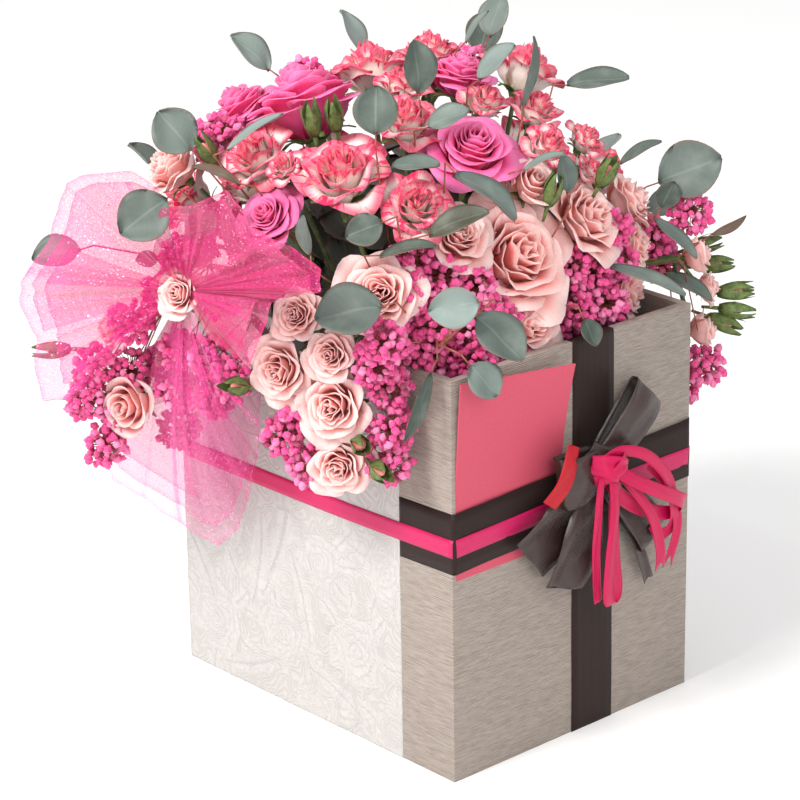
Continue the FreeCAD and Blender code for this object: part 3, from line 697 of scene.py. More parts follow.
def spiral_way(index, level):
    """One of many evenly spread directions: its height, and its turn by the golden angle."""
    flat = math.sqrt(1 - level * level)
    return Vector((flat * math.cos(index * GOLDEN), flat * math.sin(index * GOLDEN), level))


def jitter(rng, flat, low, high):
    """A random vector: within flat of nought in plan, and from low to high upwards."""
    return Vector((rng.uniform(-flat, flat), rng.uniform(-flat, flat), rng.uniform(low, high)))


# ---------------------------------------------------------------- blooms

# How each style of rose opens, as shares of its radius: the flare of its outer petals, the
# waves on their rims, their curl outwards, the height of the heart and the droop outside.
BLOOM_STYLES = {
    "classic": {"petals": 27, "open": 0.50, "ruffle": 0.028, "curl": 0.26, "crown": 0.44,
                "droop": 0.40},
    "open": {"petals": 19, "open": 0.55, "ruffle": 0.075, "curl": 0.20, "crown": 0.48,
             "droop": 0.38},
    "ruffled": {"petals": 21, "open": 0.56, "ruffle": 0.052, "curl": 0.13, "crown": 0.36,
                "droop": 0.34, "waves": 5.6},
    "half": {"petals": 13, "open": 0.12, "ruffle": 0.03, "curl": 0.20, "crown": 0.70,
             "droop": 0.25},
}


# As shares of a bloom's radius: its closed heart, how deep its cup is below the widest part,
# and how thick its petals and sepals are.
HEART_RADIUS = 0.05
CUP_DEPTH = 0.60
PETAL_THICK = 0.012
SEPAL_THICK = 0.015
# As shares of a petal's length: where it starts to flare, and where its rim starts to curl.
FLARE_START = 0.6
CURL_START = 0.70
PETAL_CELLS = (11, 6)
TEMPLATES_PER_STYLE = 3


def petal_shape(style, share, heading, wave, chance):
    """Where a point of one petal lies: share is 0 at the heart and 1 outside."""
    reach = 1.9 - 1.05 * share
    belly = 0.09 + 0.60 * share ** 1.05
    top = belly * (1 + style["open"] * share ** 1.4)
    lift = style["crown"] - 0.06 * share - style["droop"] * share ** 2 + chance

    def place(u, v):
        grow = v * (1 - 0.20 * abs(u) ** 2.4)
        angle = heading + u * reach * (0.30 + 0.70 * math.sin(math.pi * v / 2) ** 0.8)
        bulge = math.sin(min(grow / FLARE_START, 1.0) * math.pi / 2)
        flare = max(0.0, (grow - FLARE_START) / (1 - FLARE_START)) ** 1.2
        radius = HEART_RADIUS + (belly - HEART_RADIUS) * bulge + (top - belly) * flare
        height = -CUP_DEPTH + (lift + CUP_DEPTH) * grow ** 0.92
        tip = max(0.0, (grow - CURL_START) / (1 - CURL_START)) ** 2
        radius += style["curl"] * share * tip
        height -= style["curl"] * share * tip * 0.75
        radius += 0.045 * u * (0.4 + share)
        waves = style.get("waves", 4.3)
        radius += style["ruffle"] * math.sin(waves * u + wave) * grow ** 2.5
        height += style["ruffle"] * 1.2 * math.sin(1.2 * waves * u + 1.7 * wave) * grow ** 3
        return Vector((radius * math.cos(angle), radius * math.sin(angle), height))

    return place


def bloom_template(kind, seed):
    """A bloom of radius 1 that faces +Z, with its widest part at the origin."""
    rng = random.Random(seed)
    style = BLOOM_STYLES[kind]
    bm = bmesh.new()
    count = style["petals"]
    for index in range(count):
        share = index / (count - 1)
        shape = petal_shape(style, share, index * GOLDEN + rng.uniform(-0.2, 0.2),
                            rng.uniform(*ANY_SPIN), rng.uniform(-0.04, 0.04))
        shaped_grid(bm, *PETAL_CELLS, shape, depth=share, tint=rng.random())
    widest = max(math.hypot(vert.co.x, vert.co.y) for vert in bm.verts)
    bmesh.ops.scale(bm, vec=(1 / widest, 1 / widest, 1), verts=bm.verts)
    bmesh.ops.recalc_face_normals(bm, faces=bm.faces)
    thicken(bm, list(bm.faces), PETAL_THICK)
    rod(bm, 10, 0.05, 0.17, 0.20, Matrix.Translation((0, 0, -0.62)))
    for index in range(5):
        turn = Matrix.Rotation(index * FIFTH_TURN + rng.uniform(-0.2, 0.2), 4, "Z")

        def sepal(u, v, turn=turn, lift=rng.uniform(-0.1, 0.12)):
            wide = 0.11 * (1 - 0.85 * v) ** 0.7
            out = 0.14 + 0.42 * v
            return turn @ Vector((out, u * wide, -0.55 + 0.30 * v * (1 - v) + lift * v * v))

        thicken(bm, faces_of(shaped_grid(bm, 2, 5, sepal, tint=0.5)), SEPAL_THICK, 1)
    return finished(f"{kind}_{seed}", bm)


TEMPLATES = {kind: [bloom_template(kind, seed) for seed in range(TEMPLATES_PER_STYLE)]
             for kind in BLOOM_STYLES}

# Each bloom node: its petals, and the styles of its blooms from -X to +X, the last of which
# goes on for the rest.
BLOOMS = {
    **{f"hot_pink_rose_{number}": ("hot", ["classic"]) for number in range(1, 5)},
    "hot_pink_roses_back": ("hot", ["classic"]),
    **{f"striped_rose_{number}": ("striped", ["open"]) for number in range(1, 8)},
    "striped_roses_small": ("striped", ["open"]),
    "striped_roses_back": ("striped", ["open"]),
    "spray_roses_front": ("pale", ["ruffled", "ruffled", "ruffled", "half"]),
    "spray_roses_right": ("pale", ["ruffled"]),
    "spray_roses_left": ("pale", ["ruffled"]),
    "spray_roses_low_left": ("pale", ["ruffled"]),
    "spray_roses_far_left": ("pale", ["ruffled", "ruffled", "half", "ruffled"]),
    "spray_roses_corner": ("pale", ["half", "half", "ruffled"]),
    "spray_roses_back_right": ("pale", ["ruffled"]),
    "spray_roses_back": ("pale", ["ruffled"]),
}
# Outer petals reach this far past the widest ring of the firm core.
PETAL_REACH = {"hot": 1.62, "striped": 1.66, "pale": 1.72}
# Sprays whose roses are blown wider than the others.
WIDE_BLOWN = {"spray_roses_front": 1.2, "spray_roses_right": 1.15, "hot_pink_rose_1": 1.35,
              "spray_roses_far_left": 1.1}
# Sprays whose petals stand this far out in front of their cores, in mm.
STANDS_OUT = {"spray_roses_far_left": 16.0}


def make_blooms():
    rng = random.Random(4)
    for node, (petals, kinds) in BLOOMS.items():
        reach = PETAL_REACH[petals] * WIDE_BLOWN.get(node, 1.0)
        bm = bmesh.new()
        cores = sorted((bloom_frame(*solid) for solid in islands(node)),
                       key=lambda core: core[0][0])
        for index, (centre, forward, radius) in enumerate(cores):
            template = rng.choice(TEMPLATES[kinds[min(index, len(kinds) - 1)]])
            centre = centre + forward * STANDS_OUT.get(node, 0.0) * MM
            stamp(bm, template, placing(centre, forward, rng.uniform(*ANY_SPIN),
                                        radius * reach))
        piece(f"{node}_petals", bm, "arrangement", [petals, "sepal"], node)


def rosebud_template(seed):
    """A closed bud of true size that stands on the origin: heart, five sepals, stalk."""
    rng = random.Random(seed)
    bm = bmesh.new()
    tint = layer(bm, "tint")
    heart = bmesh.ops.create_uvsphere(bm, u_segments=12, v_segments=8, radius=1)["verts"]
    for vert in heart:
        vert[tint] = 0.5
        girth = 4.2 * MM * (1 - 0.45 * max(0.0, vert.co.z))
        vert.co = Vector((vert.co.x * girth, vert.co.y * girth,
                          (7.5 + vert.co.z * 7.2) * MM))
    for index in range(5):
        turn = Matrix.Rotation(index * FIFTH_TURN, 4, "Z")

        def sepal(u, v, turn=turn, flare=rng.uniform(-0.5, 4)):
            wide = 3.3 * math.sin(math.pi * (0.25 + v * 0.69)) ** 1.1
            out = 4.6 * math.sin(math.pi * (0.06 + 0.86 * v)) ** 0.8 + 0.3 + flare * v ** 4
            return turn @ Vector((out, u * wide, -0.5 + 22.5 * v)) * MM

        thicken(bm, faces_of(shaped_grid(bm, 3, 7, sepal, tint=rng.random())), 0.4 * MM, 1)
    rod(bm, 8, 0.9 * MM, 1.4 * MM, 12 * MM, Matrix.Translation((0, 0, -5.5 * MM)))
    return finished(f"rosebud_{seed}", bm)


BUD_SCALE = 1.12


def make_rosebuds():
    """Closed buds: a pointed heart clasped by five sepals with spiky tips."""
    rng = random.Random(8)
    buds = [rosebud_template(seed) for seed in range(3)]
    bm = bmesh.new()
    for points, _ in islands("rosebuds"):
        middle, axes = principal(points)
        axis = axes[0]
        along = (points - middle) @ axis
        radial = np.linalg.norm(points - middle - along[:, None] * axis, axis=1)
        wide = along[radial > 0.95 * radial.max()].mean()
        if wide > (along.max() + along.min()) / 2:
            axis, along = -axis, -along
        foot = middle + axis * along.min()
        stamp(bm, rng.choice(buds), placing(foot, axis, rng.uniform(*ANY_SPIN), BUD_SCALE))
    piece("rosebuds_sepals", bm, "arrangement", ["pale", "sepal"], "rosebuds")


# ---------------------------------------------------------------- gypsophila

CLUSTER_RADIUS = 14.6 * MM
BUDS_PER_CLUSTER = 74


def bud_template():
    """A small double flower of radius 1: a ball with a crumpled face."""
    bm = bmesh.new()
    bmesh.ops.create_icosphere(bm, subdivisions=2, radius=1.0)
    for vert in bm.verts:
        vert.co *= 1 + 0.85 * noise.noise(vert.co * 3.1)
    return finished("gypsophila_bud", bm)


def cluster_template(bud, seed):
    """A ball of small double flowers on thin branches, which meet at its middle."""
    rng = random.Random(seed)
    bm = bmesh.new()
    tint = layer(bm, "tint")
    for index in range(BUDS_PER_CLUSTER):
        way = spiral_way(index, 1 - 2 * (index + 0.5) / BUDS_PER_CLUSTER)
        way = (way + jitter(rng, 0.25, -0.25, 0.25)).normalized()
        reach = CLUSTER_RADIUS * rng.uniform(0.66, 1.04)
        size = rng.uniform(1.7, 2.7) * MM
        start = len(bm.verts)
        stamp(bm, bud, placing(way * reach, way, rng.uniform(*ANY_SPIN), size))
        bm.verts.ensure_lookup_table()
        shade = rng.random()
        for vert in bm.verts[start:]:
            vert[tint] = shade
        rod(bm, 4, 0.3 * MM, 0.2 * MM, reach, placing(way * reach * 0.5, way, 0.0, 1.0))
    return finished(f"gypsophila_cluster_{seed}", bm)


# Short sprigs that close the mouth of the box behind its front rim, in mm.
RIM_SPRIGS = {
    "gypsophila_front": [(-104, -76, 287), (-92, -88, 281), (-100, -100, 289), (-80, -100, 282),
                         (-62, -108, 282), (-46, -104, 284), (-36, -108, 277)],
    "gypsophila_right": [(12, -106, 283), (30, -106, 281), (48, -102, 284), (66, -104, 282),
                         (80, -98, 284)],
}


def make_gypsophila():
    rng = random.Random(5)
    bud = bud_template()
    clusters = [cluster_template(bud, seed) for seed in range(4)]
    for side in ("front", "left", "far_left", "right", "back"):
        node = f"gypsophila_{side}"
        bm = bmesh.new()
        centres = [(points.min(axis=0) + points.max(axis=0)) / 2 for points, _ in islands(node)]
        centres += [Vector(sprig) * MM for sprig in RIM_SPRIGS.get(node, [])]
        for centre in centres:
            way = Vector((rng.gauss(0, 1), rng.gauss(0, 1), rng.gauss(0, 1))).normalized()
            stamp(bm, rng.choice(clusters), placing(centre, way, rng.uniform(*ANY_SPIN), 1.0))
        piece(f"{node}_blossom", bm, "arrangement", ["blossom", "twig"], node)


# ---------------------------------------------------------------- leaves

# Leaf tones from -X to +X: 0 brown, 0.3 dark green, 0.6 mid green, 1 silver.
LEAF_TONES = {
    "eucalyptus_left": [0.58, 0.66, 0.9, 0.55, 0.3, 0.05, 0.6, 0.66, 0.85],
    "eucalyptus_top": [0.48, 0.7, 0.5, 0.8, 0.82, 0.6, 0.75, 0.52],
    "eucalyptus_front": [0.60, 0.45, 0.38, 0.88, 0.3, 0.74, 0.60, 0.62, 0.20, 0.62],
    "eucalyptus_right": [0.35, 0.6, 0.66, 0.45, 0.62, 0.35, 0.5, 0.64, 0.05],
    "eucalyptus_back": [0.6, 0.4, 0.8, 0.62, 0.9, 0.5, 0.7, 0.36, 0.62, 0.8, 0.5, 0.9],
}


LEAF_THICK = 0.5 * MM


def blade(bm, centre, along, normal, length, width, tone, bend, teeth=0.0, cells=(8, 12)):
    """A leaf blade: pointed oval, cupped across, bent along and a little wavy."""
    centre, along, normal = Vector(centre), Vector(along), Vector(normal)
    across = normal.cross(along)

    def shape(u, v):
        wide = width / 2 * math.sin(math.pi * min(max(v, 0.004), 0.996)) ** 0.62
        wide *= 1 + 0.16 * (0.5 - v)
        if teeth:
            wide *= 1 + teeth * abs(u) * ((v * 9.0) % 1.0 - 0.4)
        lift = 0.13 * width * u * u - bend * length * (2 * v - 1) ** 2
        lift += 0.035 * width * math.sin(7 * v + 3 * u)
        return centre + along * (v - 0.5) * length + across * u * wide + normal * lift

    verts = shaped_grid(bm, *cells, shape, tint=tone)
    thicken(bm, faces_of(verts), LEAF_THICK)


def stalk(bm, start, finish, radius):
    run = Vector(finish) - Vector(start)
    middle = (Vector(finish) + Vector(start)) / 2
    rod(bm, 6, radius, radius * 0.8, run.length, placing(middle, run.normalized(), 0, 1.0))


def make_eucalyptus():
    rng = random.Random(6)
    for node, tones in LEAF_TONES.items():
        bm = bmesh.new()
        leaves = sorted((leaf_frame(points) for points, _ in islands(node)),
                        key=lambda leaf: leaf[0][0])
        for tone, (centre, along, normal, length, width, foot) in zip(tones, leaves):
            blade(bm, centre, along, normal, length * 1.04, width * 1.04, tone,
                  rng.uniform(0.03, 0.12))
            neck = Vector(centre) - Vector(along) * length * 0.47 - Vector(normal) * 0.06 * length
            stalk(bm, foot, neck, 0.6 * MM)
        piece(f"{node}_leaves", bm, "arrangement", ["leaf", "twig"], node)


# Loose leaves lie on a dome inside the bouquet: its middle and its half widths, and how
# much further out the lowest of them lie.
INNER_LEAVES = 150
DOME_MIDDLE = Vector((-10, 10, 262)) * MM
DOME_WIDTHS = Vector((98, 106, 116)) * MM
DOME_SPLAY = Vector((12, 28, 0)) * MM
ROSE_LEAF_TEETH = 0.13


def make_rose_foliage():
    """Rose leaves in threes, with toothed edges, that close the gaps between blooms."""
    rng = random.Random(7)
    bm = bmesh.new()
    for points, _ in islands("rose_foliage"):
        centre, along, normal, length, width, foot = leaf_frame(points)
        base = Vector(centre) - Vector(along) * length / 2
        for swing, share in ((0.0, 1.25), (1.0, 1.0), (-1.0, 1.0)):
            turn = Matrix.Rotation(swing, 3, Vector(normal))
            way = turn @ Vector(along)
            middle = base + way * length * share * 0.5
            blade(bm, middle, way, normal, length * share, width * share * 1.25,
                  rng.uniform(0.32, 0.58), rng.uniform(0.02, 0.10), ROSE_LEAF_TEETH, (6, 18))
        stalk(bm, foot, base, 0.7 * MM)
    for index in range(INNER_LEAVES):
        way = spiral_way(index, 1 - 0.98 * (index + 0.5) / INNER_LEAVES)
        widths = DOME_WIDTHS + DOME_SPLAY * (1 - way.z)
        centre = DOME_MIDDLE + way * widths * rng.uniform(0.84, 1.02)
        slope = (way + jitter(rng, 0.5, -0.2, 0.5)).normalized()
        side = slope.cross(UP + Vector((rng.uniform(-1, 1), rng.uniform(-1, 1), 0))).normalized()
        size = rng.uniform(38, 52) * MM
        blade(bm, centre, slope.cross(side), slope, size, size * 0.62, rng.uniform(0.25, 0.58),
              rng.uniform(0.05, 0.14), ROSE_LEAF_TEETH, (6, 14))
    piece("rose_foliage_leaves", bm, "arrangement", ["rose_leaf", "stem"],
          "rose_foliage")


# ---------------------------------------------------------------- hard pieces

# Each stiff node: its body, its slot, its look, and how far its edges are eased, in mm.
HARD = [
    *((f"{side}_board", "box", "grey_board", "board", 0.3)
      for side in ("base", "front", "back", "left", "right")),
    ("base_paper", "box", "taupe_paper", "linen", 0.1),
    ("cover_paper", "box", "taupe_paper", "linen", 0.12),
    ("rim_paper", "box", "taupe_paper", "linen", 0.12),
    ("lining_paper", "box", "taupe_paper", "linen", 0.1),
    ("riser", "box", "riser_card", "riser", 0.2),
    ("liner_tray", "arrangement", "liner_plastic", "liner", 0.3),
    ("floral_foam", "arrangement", "foam", "foam", 0.8),
    ("rose_stems", "arrangement", "stem_green", "stem", 0.0),
    ("gypsophila_stems", "arrangement", "berry_stem", "twig", 0.0),
    ("eucalyptus_stems", "arrangement", "stem_green", "twig", 0.0),
]
# The solids of thin stems are stouter than the stems: how much comes off all round, in mm.
SLIMMED = {"eucalyptus_stems": 0.45, "gypsophila_stems": 0.3, "rose_stems": 0.4}


def make_hard_pieces():
    """The stiff nodes as they are, with their edges eased and their stems slimmed."""
    for node, body, slot, look, edge in HARD:
        bm = bmesh.new()
        bm.from_mesh(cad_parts[node].data)
        bmesh.ops.remove_doubles(bm, verts=bm.verts, dist=WELD)
        bmesh.ops.recalc_face_normals(bm, faces=bm.faces)
        if node in SLIMMED:
            bm.normal_update()
            for vert in bm.verts:
                vert.co -= vert.normal * SLIMMED[node] * MM
        if edge:
            bmesh.ops.dissolve_limit(bm, angle_limit=0.01, verts=bm.verts, edges=bm.edges)
            hard = [e for e in bm.edges if e.is_manifold and e.calc_face_angle() > 0.5]
            bmesh.ops.bevel(bm, geom=hard, offset=edge * MM, segments=2, profile=0.5,
                            affect="EDGES", material=-1)
        piece(f"{node}_finish", bm, body, [look], node, sharp=30)


# ---------------------------------------------------------------- ivory relief

# Embossed roses on an ivory panel: share of its length and height, and radius in mm.
EMBOSSED = [(0.12, 0.92, 21), (0.44, 0.88, 24), (0.78, 0.93, 22), (0.26, 0.68, 23),
            (0.62, 0.66, 26), (0.94, 0.66, 20), (0.07, 0.46, 22), (0.36, 0.42, 21),
            (0.84, 0.42, 25), (0.20, 0.22, 27), (0.55, 0.18, 22), (0.86, 0.14, 27),
            (0.04, 0.05, 20), (0.38, 0.02, 22)]
# Long leaves that sweep between the roses: the same shares, length, width and heading.
SWEEPING = [(0.55, 0.40, 92, 30, 112), (0.64, 0.36, 80, 22, 100), (0.44, 0.30, 70, 20, 75),
            (0.16, 0.80, 64, 20, 150), (0.70, 0.80, 66, 20, 35), (0.05, 0.66, 60, 18, 95),
            (0.92, 0.28, 62, 18, 60), (0.30, 0.10, 64, 18, 20), (0.70, 0.06, 60, 17, 160)]
RELIEF = 0.5 * MM
GROUND = 0.12 * MM
PANEL_CELLS = (180, 224)
# Leaves tucked under each embossed rose: their number, length and width.
TUCKED = (6, 30 * MM, 14 * MM)
# The bands press the panel flat at this height, over this much either side.
PRESSED_HEIGHT = 169.5 * MM
PRESSED_REACH = 24.0 * MM


def rose_relief(along, up, cx, cy, radius, spin):
    """Height of one embossed rose: ruffled rings of petals, finely ribbed."""
    dx, dy = along - cx, up - cy
    angle = np.arctan2(dy, dx) + spin
    share = np.hypot(dx, dy) / radius
    share = share * (1 + 0.10 * np.sin(3 * angle + 5 * share) + 0.05 * np.sin(7 * angle))
    rings = 4.6 * share ** 0.8 + angle / (2 * np.pi)
    step = rings - np.floor(rings)
    ribs = 0.10 * np.cos(angle * 26 + 3 * np.floor(rings))
    height = 0.30 + 0.62 * step ** 1.6 + ribs * step
    return np.where(share < 1.0, height, 0.0)


def leaf_relief(along, up, cx, cy, length, width, heading):
    """Height of one embossed leaf: a sunk midrib and close side veins."""
    dx, dy = along - cx, up - cy
    run = (dx * math.cos(heading) + dy * math.sin(heading)) / length + 0.5
    side = (dy * math.cos(heading) - dx * math.sin(heading)) / width * 2
    side = side + 0.35 * (run - 0.5) ** 2 * 4
    wide = np.sin(np.pi * np.clip(run, 0, 1)) ** 0.8
    inside = (run > 0) & (run < 1) & (np.abs(side) < wide)
    height = 0.72 - 0.40 * (np.abs(side) / np.maximum(wide, 1e-3)) ** 2
    height += 0.10 * np.cos((run - np.abs(side) * 0.25) * 2 * np.pi * length / 0.0052)
    return np.where(inside, np.where(np.abs(side) < 0.08, 0.15, height), 0.0)


def panel_relief(along, up, length, height):
    """Height of the embossing, from 0 to about 1, over a panel of this length and height."""
    rng = random.Random(12)
    swirl = 1.3 * np.sin(along * 71 + 2.1 * np.sin(up * 93)) + np.sin(up * 117 + along * 40)
    total = 0.16 + 0.13 * np.sin(9.0 * swirl + along * 900 + up * 420)
    for fx, fz, radius in EMBOSSED:
        count, long, wide = TUCKED
        reach = radius * MM * 1.30
        for _ in range(count):
            heading = rng.uniform(*ANY_SPIN)
            part = leaf_relief(along, up, fx * length + reach * math.cos(heading),
                               fz * height + reach * math.sin(heading), long, wide, heading)
            total = np.where(part > 0, part, total)
    for fx, fz, radius in EMBOSSED:
        part = rose_relief(along, up, fx * length, fz * height, radius * MM,
                           rng.uniform(*ANY_SPIN))
        total = np.where(part > 0, part, total)
    for fx, fz, long, wide, heading in SWEEPING:
        part = leaf_relief(along, up, fx * length, fz * height, long * MM, wide * MM,
                           math.radians(heading))
        total = np.where(part > 0, part, total)
    return total


def make_ivory_panels():
    """Embossed paper on each of the panels' outer faces, with its edges turned in."""
    bm = bmesh.new()
    relief = layer(bm, "relief")
    for points, _ in islands("ivory_panels"):
        low, high = points.min(axis=0), points.max(axis=0)
        outward = -1 if low[0] < 0 else 1
        inner = high[0] if outward < 0 else low[0]
        span, tall = high[1] - low[1], high[2] - low[2]
        verts = bmesh.ops.create_grid(bm, x_segments=PANEL_CELLS[0], y_segments=PANEL_CELLS[1],
                                      size=1.0)["verts"]
        along = np.array([(vert.co.x + 1) / 2 for vert in verts]) * span
        up = np.array([(vert.co.y + 1) / 2 for vert in verts]) * tall
        heights = panel_relief(along, up, span, tall)
        clear = (np.abs(up + low[2] - PRESSED_HEIGHT) - PRESSED_REACH) / (2 * MM)
        heights = heights * np.clip(clear, 0.08, 1.0)
        for vert, run, rise, height in zip(verts, along, up, heights):
            vert[relief] = height
            vert.co = (inner + outward * (GROUND + RELIEF * height), low[1] + run, low[2] + rise)
        own = set(verts)
        border = [e for e in bm.edges if e.is_boundary and e.verts[0] in own]
        skirt = bmesh.ops.extrude_edge_only(bm, edges=border)["geom"]
        for vert in (v for v in skirt if isinstance(v, bmesh.types.BMVert)):
            vert.co.x = inner
    bmesh.ops.recalc_face_normals(bm, faces=bm.faces)
    piece("ivory_panels_embossed", bm, "box", ["ivory"], "ivory_panels")


# ---------------------------------------------------------------- ribbons and card


RIBBON_THICK = 0.4 * MM
# How far the middle of a flat ribbon lies inside its solid's outer face.
INSET = 0.2 * MM


def box_of(node):
    return (Vector(corner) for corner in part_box(node))


def leg_of(points, share):
    """Which run between the given points a share of the way is on, and how far along it."""
    place = min(max(share, 0.0), 1.0) * (len(points) - 1)
    first = min(int(place), len(points) - 2)
    return first, place - first


def curve(points, share):
    """A point on a smooth run through the given points, by share of the way."""
    first, t = leg_of(points, share)
    p0, p1, p2, p3 = (np.array(points[min(max(first + step, 0), len(points) - 1)], float)
                      for step in (-1, 0, 1, 2))
    return 0.5 * (2 * p1 + (p2 - p0) * t + (2 * p0 - 5 * p1 + 4 * p2 - p3) * t * t
                  + (3 * p1 - p0 - 3 * p2 + p3) * t ** 3)


def strip(bm, spot, run, width, cells):
    """A ribbon: spot(a, b) is a point at share a along and b from -1 to 1 across."""
    side, along = layer(bm, "strip_side"), layer(bm, "strip_run")
    verts = bmesh.ops.create_grid(bm, x_segments=cells[0], y_segments=cells[1],
                                  size=1.0)["verts"]
    for vert in verts:
        a, b = vert.co.x / 2 + 0.5, vert.co.y
        vert[side], vert[along] = b * width / 2, a * run
        vert.co = spot(a, b)
    faces = faces_of(verts)
    bmesh.ops.recalc_face_normals(bm, faces=faces)
    bmesh.ops.solidify(bm, geom=faces, thickness=RIBBON_THICK)


def walk(path):
    """The length of a flat path, and a function from a share of it to the point there."""
    lengths = [0.0]
    for one, two in zip(path, path[1:]):
        lengths.append(lengths[-1] + math.dist(one, two))

    def point(a):
        travel = a * lengths[-1]
        index = max(i for i in range(len(path) - 1) if lengths[i] <= travel + 1e-9)
        share = (travel - lengths[index]) / (lengths[index + 1] - lengths[index])
        return [p + (q - p) * share for p, q in zip(path[index], path[index + 1])]

    return lengths[-1], point


def path_strip(bm, path, rise, width, cells):
    """A ribbon laid round the box along a plan path, its middle at height rise(a)."""
    length, point = walk(path)

    def spot(a, b):
        x, y = point(a)
        wave = 0.25 * MM * math.sin(a * 37 + b * 1.3)
        return Vector((x, y + wave * (y < -0.13), rise(a) + b * width / 2))

    strip(bm, spot, length, width, cells)


CORNER_STEPS = 5


def rounded(corners, radius):
    """A flat path with its inner corners rounded."""
    path = [corners[0]]
    for before, corner, after in zip(corners, corners[1:], corners[2:]):
        corner = Vector((*corner, 0))
        back = (Vector((*before, 0)) - corner).normalized() * radius
        ahead = (Vector((*after, 0)) - corner).normalized() * radius
        for step in range(CORNER_STEPS + 1):
            t = step / CORNER_STEPS
            point = corner + back * (1 - t) ** 2 + ahead * t ** 2
            path.append((point.x, point.y))
    path.append(corners[-1])
    return path


# Heights of the middle of each band, in mm: the brown one rises from -X to +X, and the pink
# one's are at even shares of its way round from the back.
BROWN_LEVEL, BROWN_RISE = 167.6, 11.5
PINK_LEVELS = [161, 161.5, 163, 167.6, 171, 170, 166, 161]
# The upright ribbon goes over the rim and this far down inside.
UPRIGHT_END = 220.2 * MM


def make_bands():
    """The ribbons stretched flat on the box: brown and pink round it, brown up its front."""
    low, high = box_of("brown_band")
    bm = bmesh.new()
    path = rounded([(low.x + INSET, high.y), (low.x + INSET, low.y + INSET),
                    (high.x - INSET, low.y + INSET), (high.x - INSET, high.y)], 1.2 * MM)
    path_strip(bm, path, lambda a: (BROWN_LEVEL + BROWN_RISE * a) * MM, 42 * MM, (160, 6))
    band = piece("brown_band_satin", bm, "box", ["brown"], "brown_band")
    low, high = box_of("pink_band")
    bm = bmesh.new()
    path = rounded([(-1 * MM, high.y - INSET), (low.x + INSET, high.y - INSET),
                    (low.x + INSET, low.y + INSET), (high.x - INSET, low.y + INSET),
                    (high.x - INSET, high.y - INSET), (1 * MM, high.y - INSET)], 1.2 * MM)
    levels = [(level,) for level in PINK_LEVELS]
    path_strip(bm, path, lambda a: curve(levels, a)[0] * MM, 12.5 * MM, (240, 4))
    pink = piece("pink_band_satin", bm, "box", ["pink"], "pink_band")
    low, high = box_of("upright_ribbon")
    bm = bmesh.new()
    middle = (low.x + high.x) / 2
    turn = rounded([(low.y + INSET, low.z), (low.y + INSET, high.z - INSET),
                    (high.y - INSET, high.z - INSET), (high.y - INSET, UPRIGHT_END)], 1.0 * MM)
    length, point = walk(turn)

    def spot(a, b):
        y, z = point(a)
        return Vector((middle + b * 19 * MM + 0.2 * MM * math.sin(z * 60), y, z))

    strip(bm, spot, length, 38 * MM, (180, 6))
    upright = piece("upright_ribbon_satin", bm, "box", ["brown"],
                    "upright_ribbon")
    return band, pink, upright


KNOT = Vector((17, -139, 192)) * MM


def loop(bm, root, reach, lift, width, pinch, front, back):
    """A bow loop from its root (right, up): out in front, round, and back behind, in mm."""
    length = math.hypot(reach, lift)
    way = Vector((reach, 0, lift)) / length * MM
    side = Vector((-way.z, 0, way.x))
    start = KNOT + Vector((root[0], 0, root[1])) * MM
    outline = [(0, front * 0.75), (0.35, front), (0.75, front * 1.1), (0.97, front * 0.9),
               (1.0, (front + back) / 2), (0.95, back * 1.1), (0.6, back), (0.05, back)]

    def spot(a, b):
        run, out = curve(outline, a)
        girth = pinch + (1 - pinch) * math.sin(math.pi * min(max(a, 0.0), 1.0)) ** 0.55
        crease = 1.0 * math.sin(b * 4.0 + 5 * a) * math.sin(math.pi * a) ** 0.5
        fold = 2.6 * (1 - girth) * math.cos(b * 8.0)
        return (start + way * run * length + side * b * girth * width / 2
                - Vector((0, 1, 0)) * (out + crease + fold) * MM)

    strip(bm, spot, 2.1 * length * MM, width * MM, (44, 8))


def tail(bm, points, width, notch, pinch, fold, side=None, cells=(40, 8)):
    """A ribbon run through points (right, out, up) from the knot, in mm.

    Its width lies square to the run in the plane of the front, or along side. Notch is how
    deep its end is cut in, pinch its width at the start as a share, and fold its creases.
    """
    run = sum(math.dist(p, q) for p, q in zip(points, points[1:]))

    def spot(a, b):
        share = a * (1 - notch * (1 - abs(b)) * a ** 6)
        here = curve(points, share)
        ahead = curve(points, min(share + 0.02, 1.0)) - curve(points, max(share - 0.02, 0.0))
        way = Vector((ahead[0], 0, ahead[2])).normalized()
        across = Vector((-way.z, 0, way.x)) if side is None else Vector(side).normalized()
        girth = pinch + (1 - pinch) * min(1.0, share * 1.8) ** 0.7
        crease = fold * (math.sin(3.4 * b + 7 * share) + 1.6 * (1.1 - girth) * math.cos(8 * b))
        return KNOT + (Vector((here[0], -here[1] - crease, here[2]))
                       + across * b * girth * width / 2) * MM

    strip(bm, spot, run * MM, width * MM, cells)


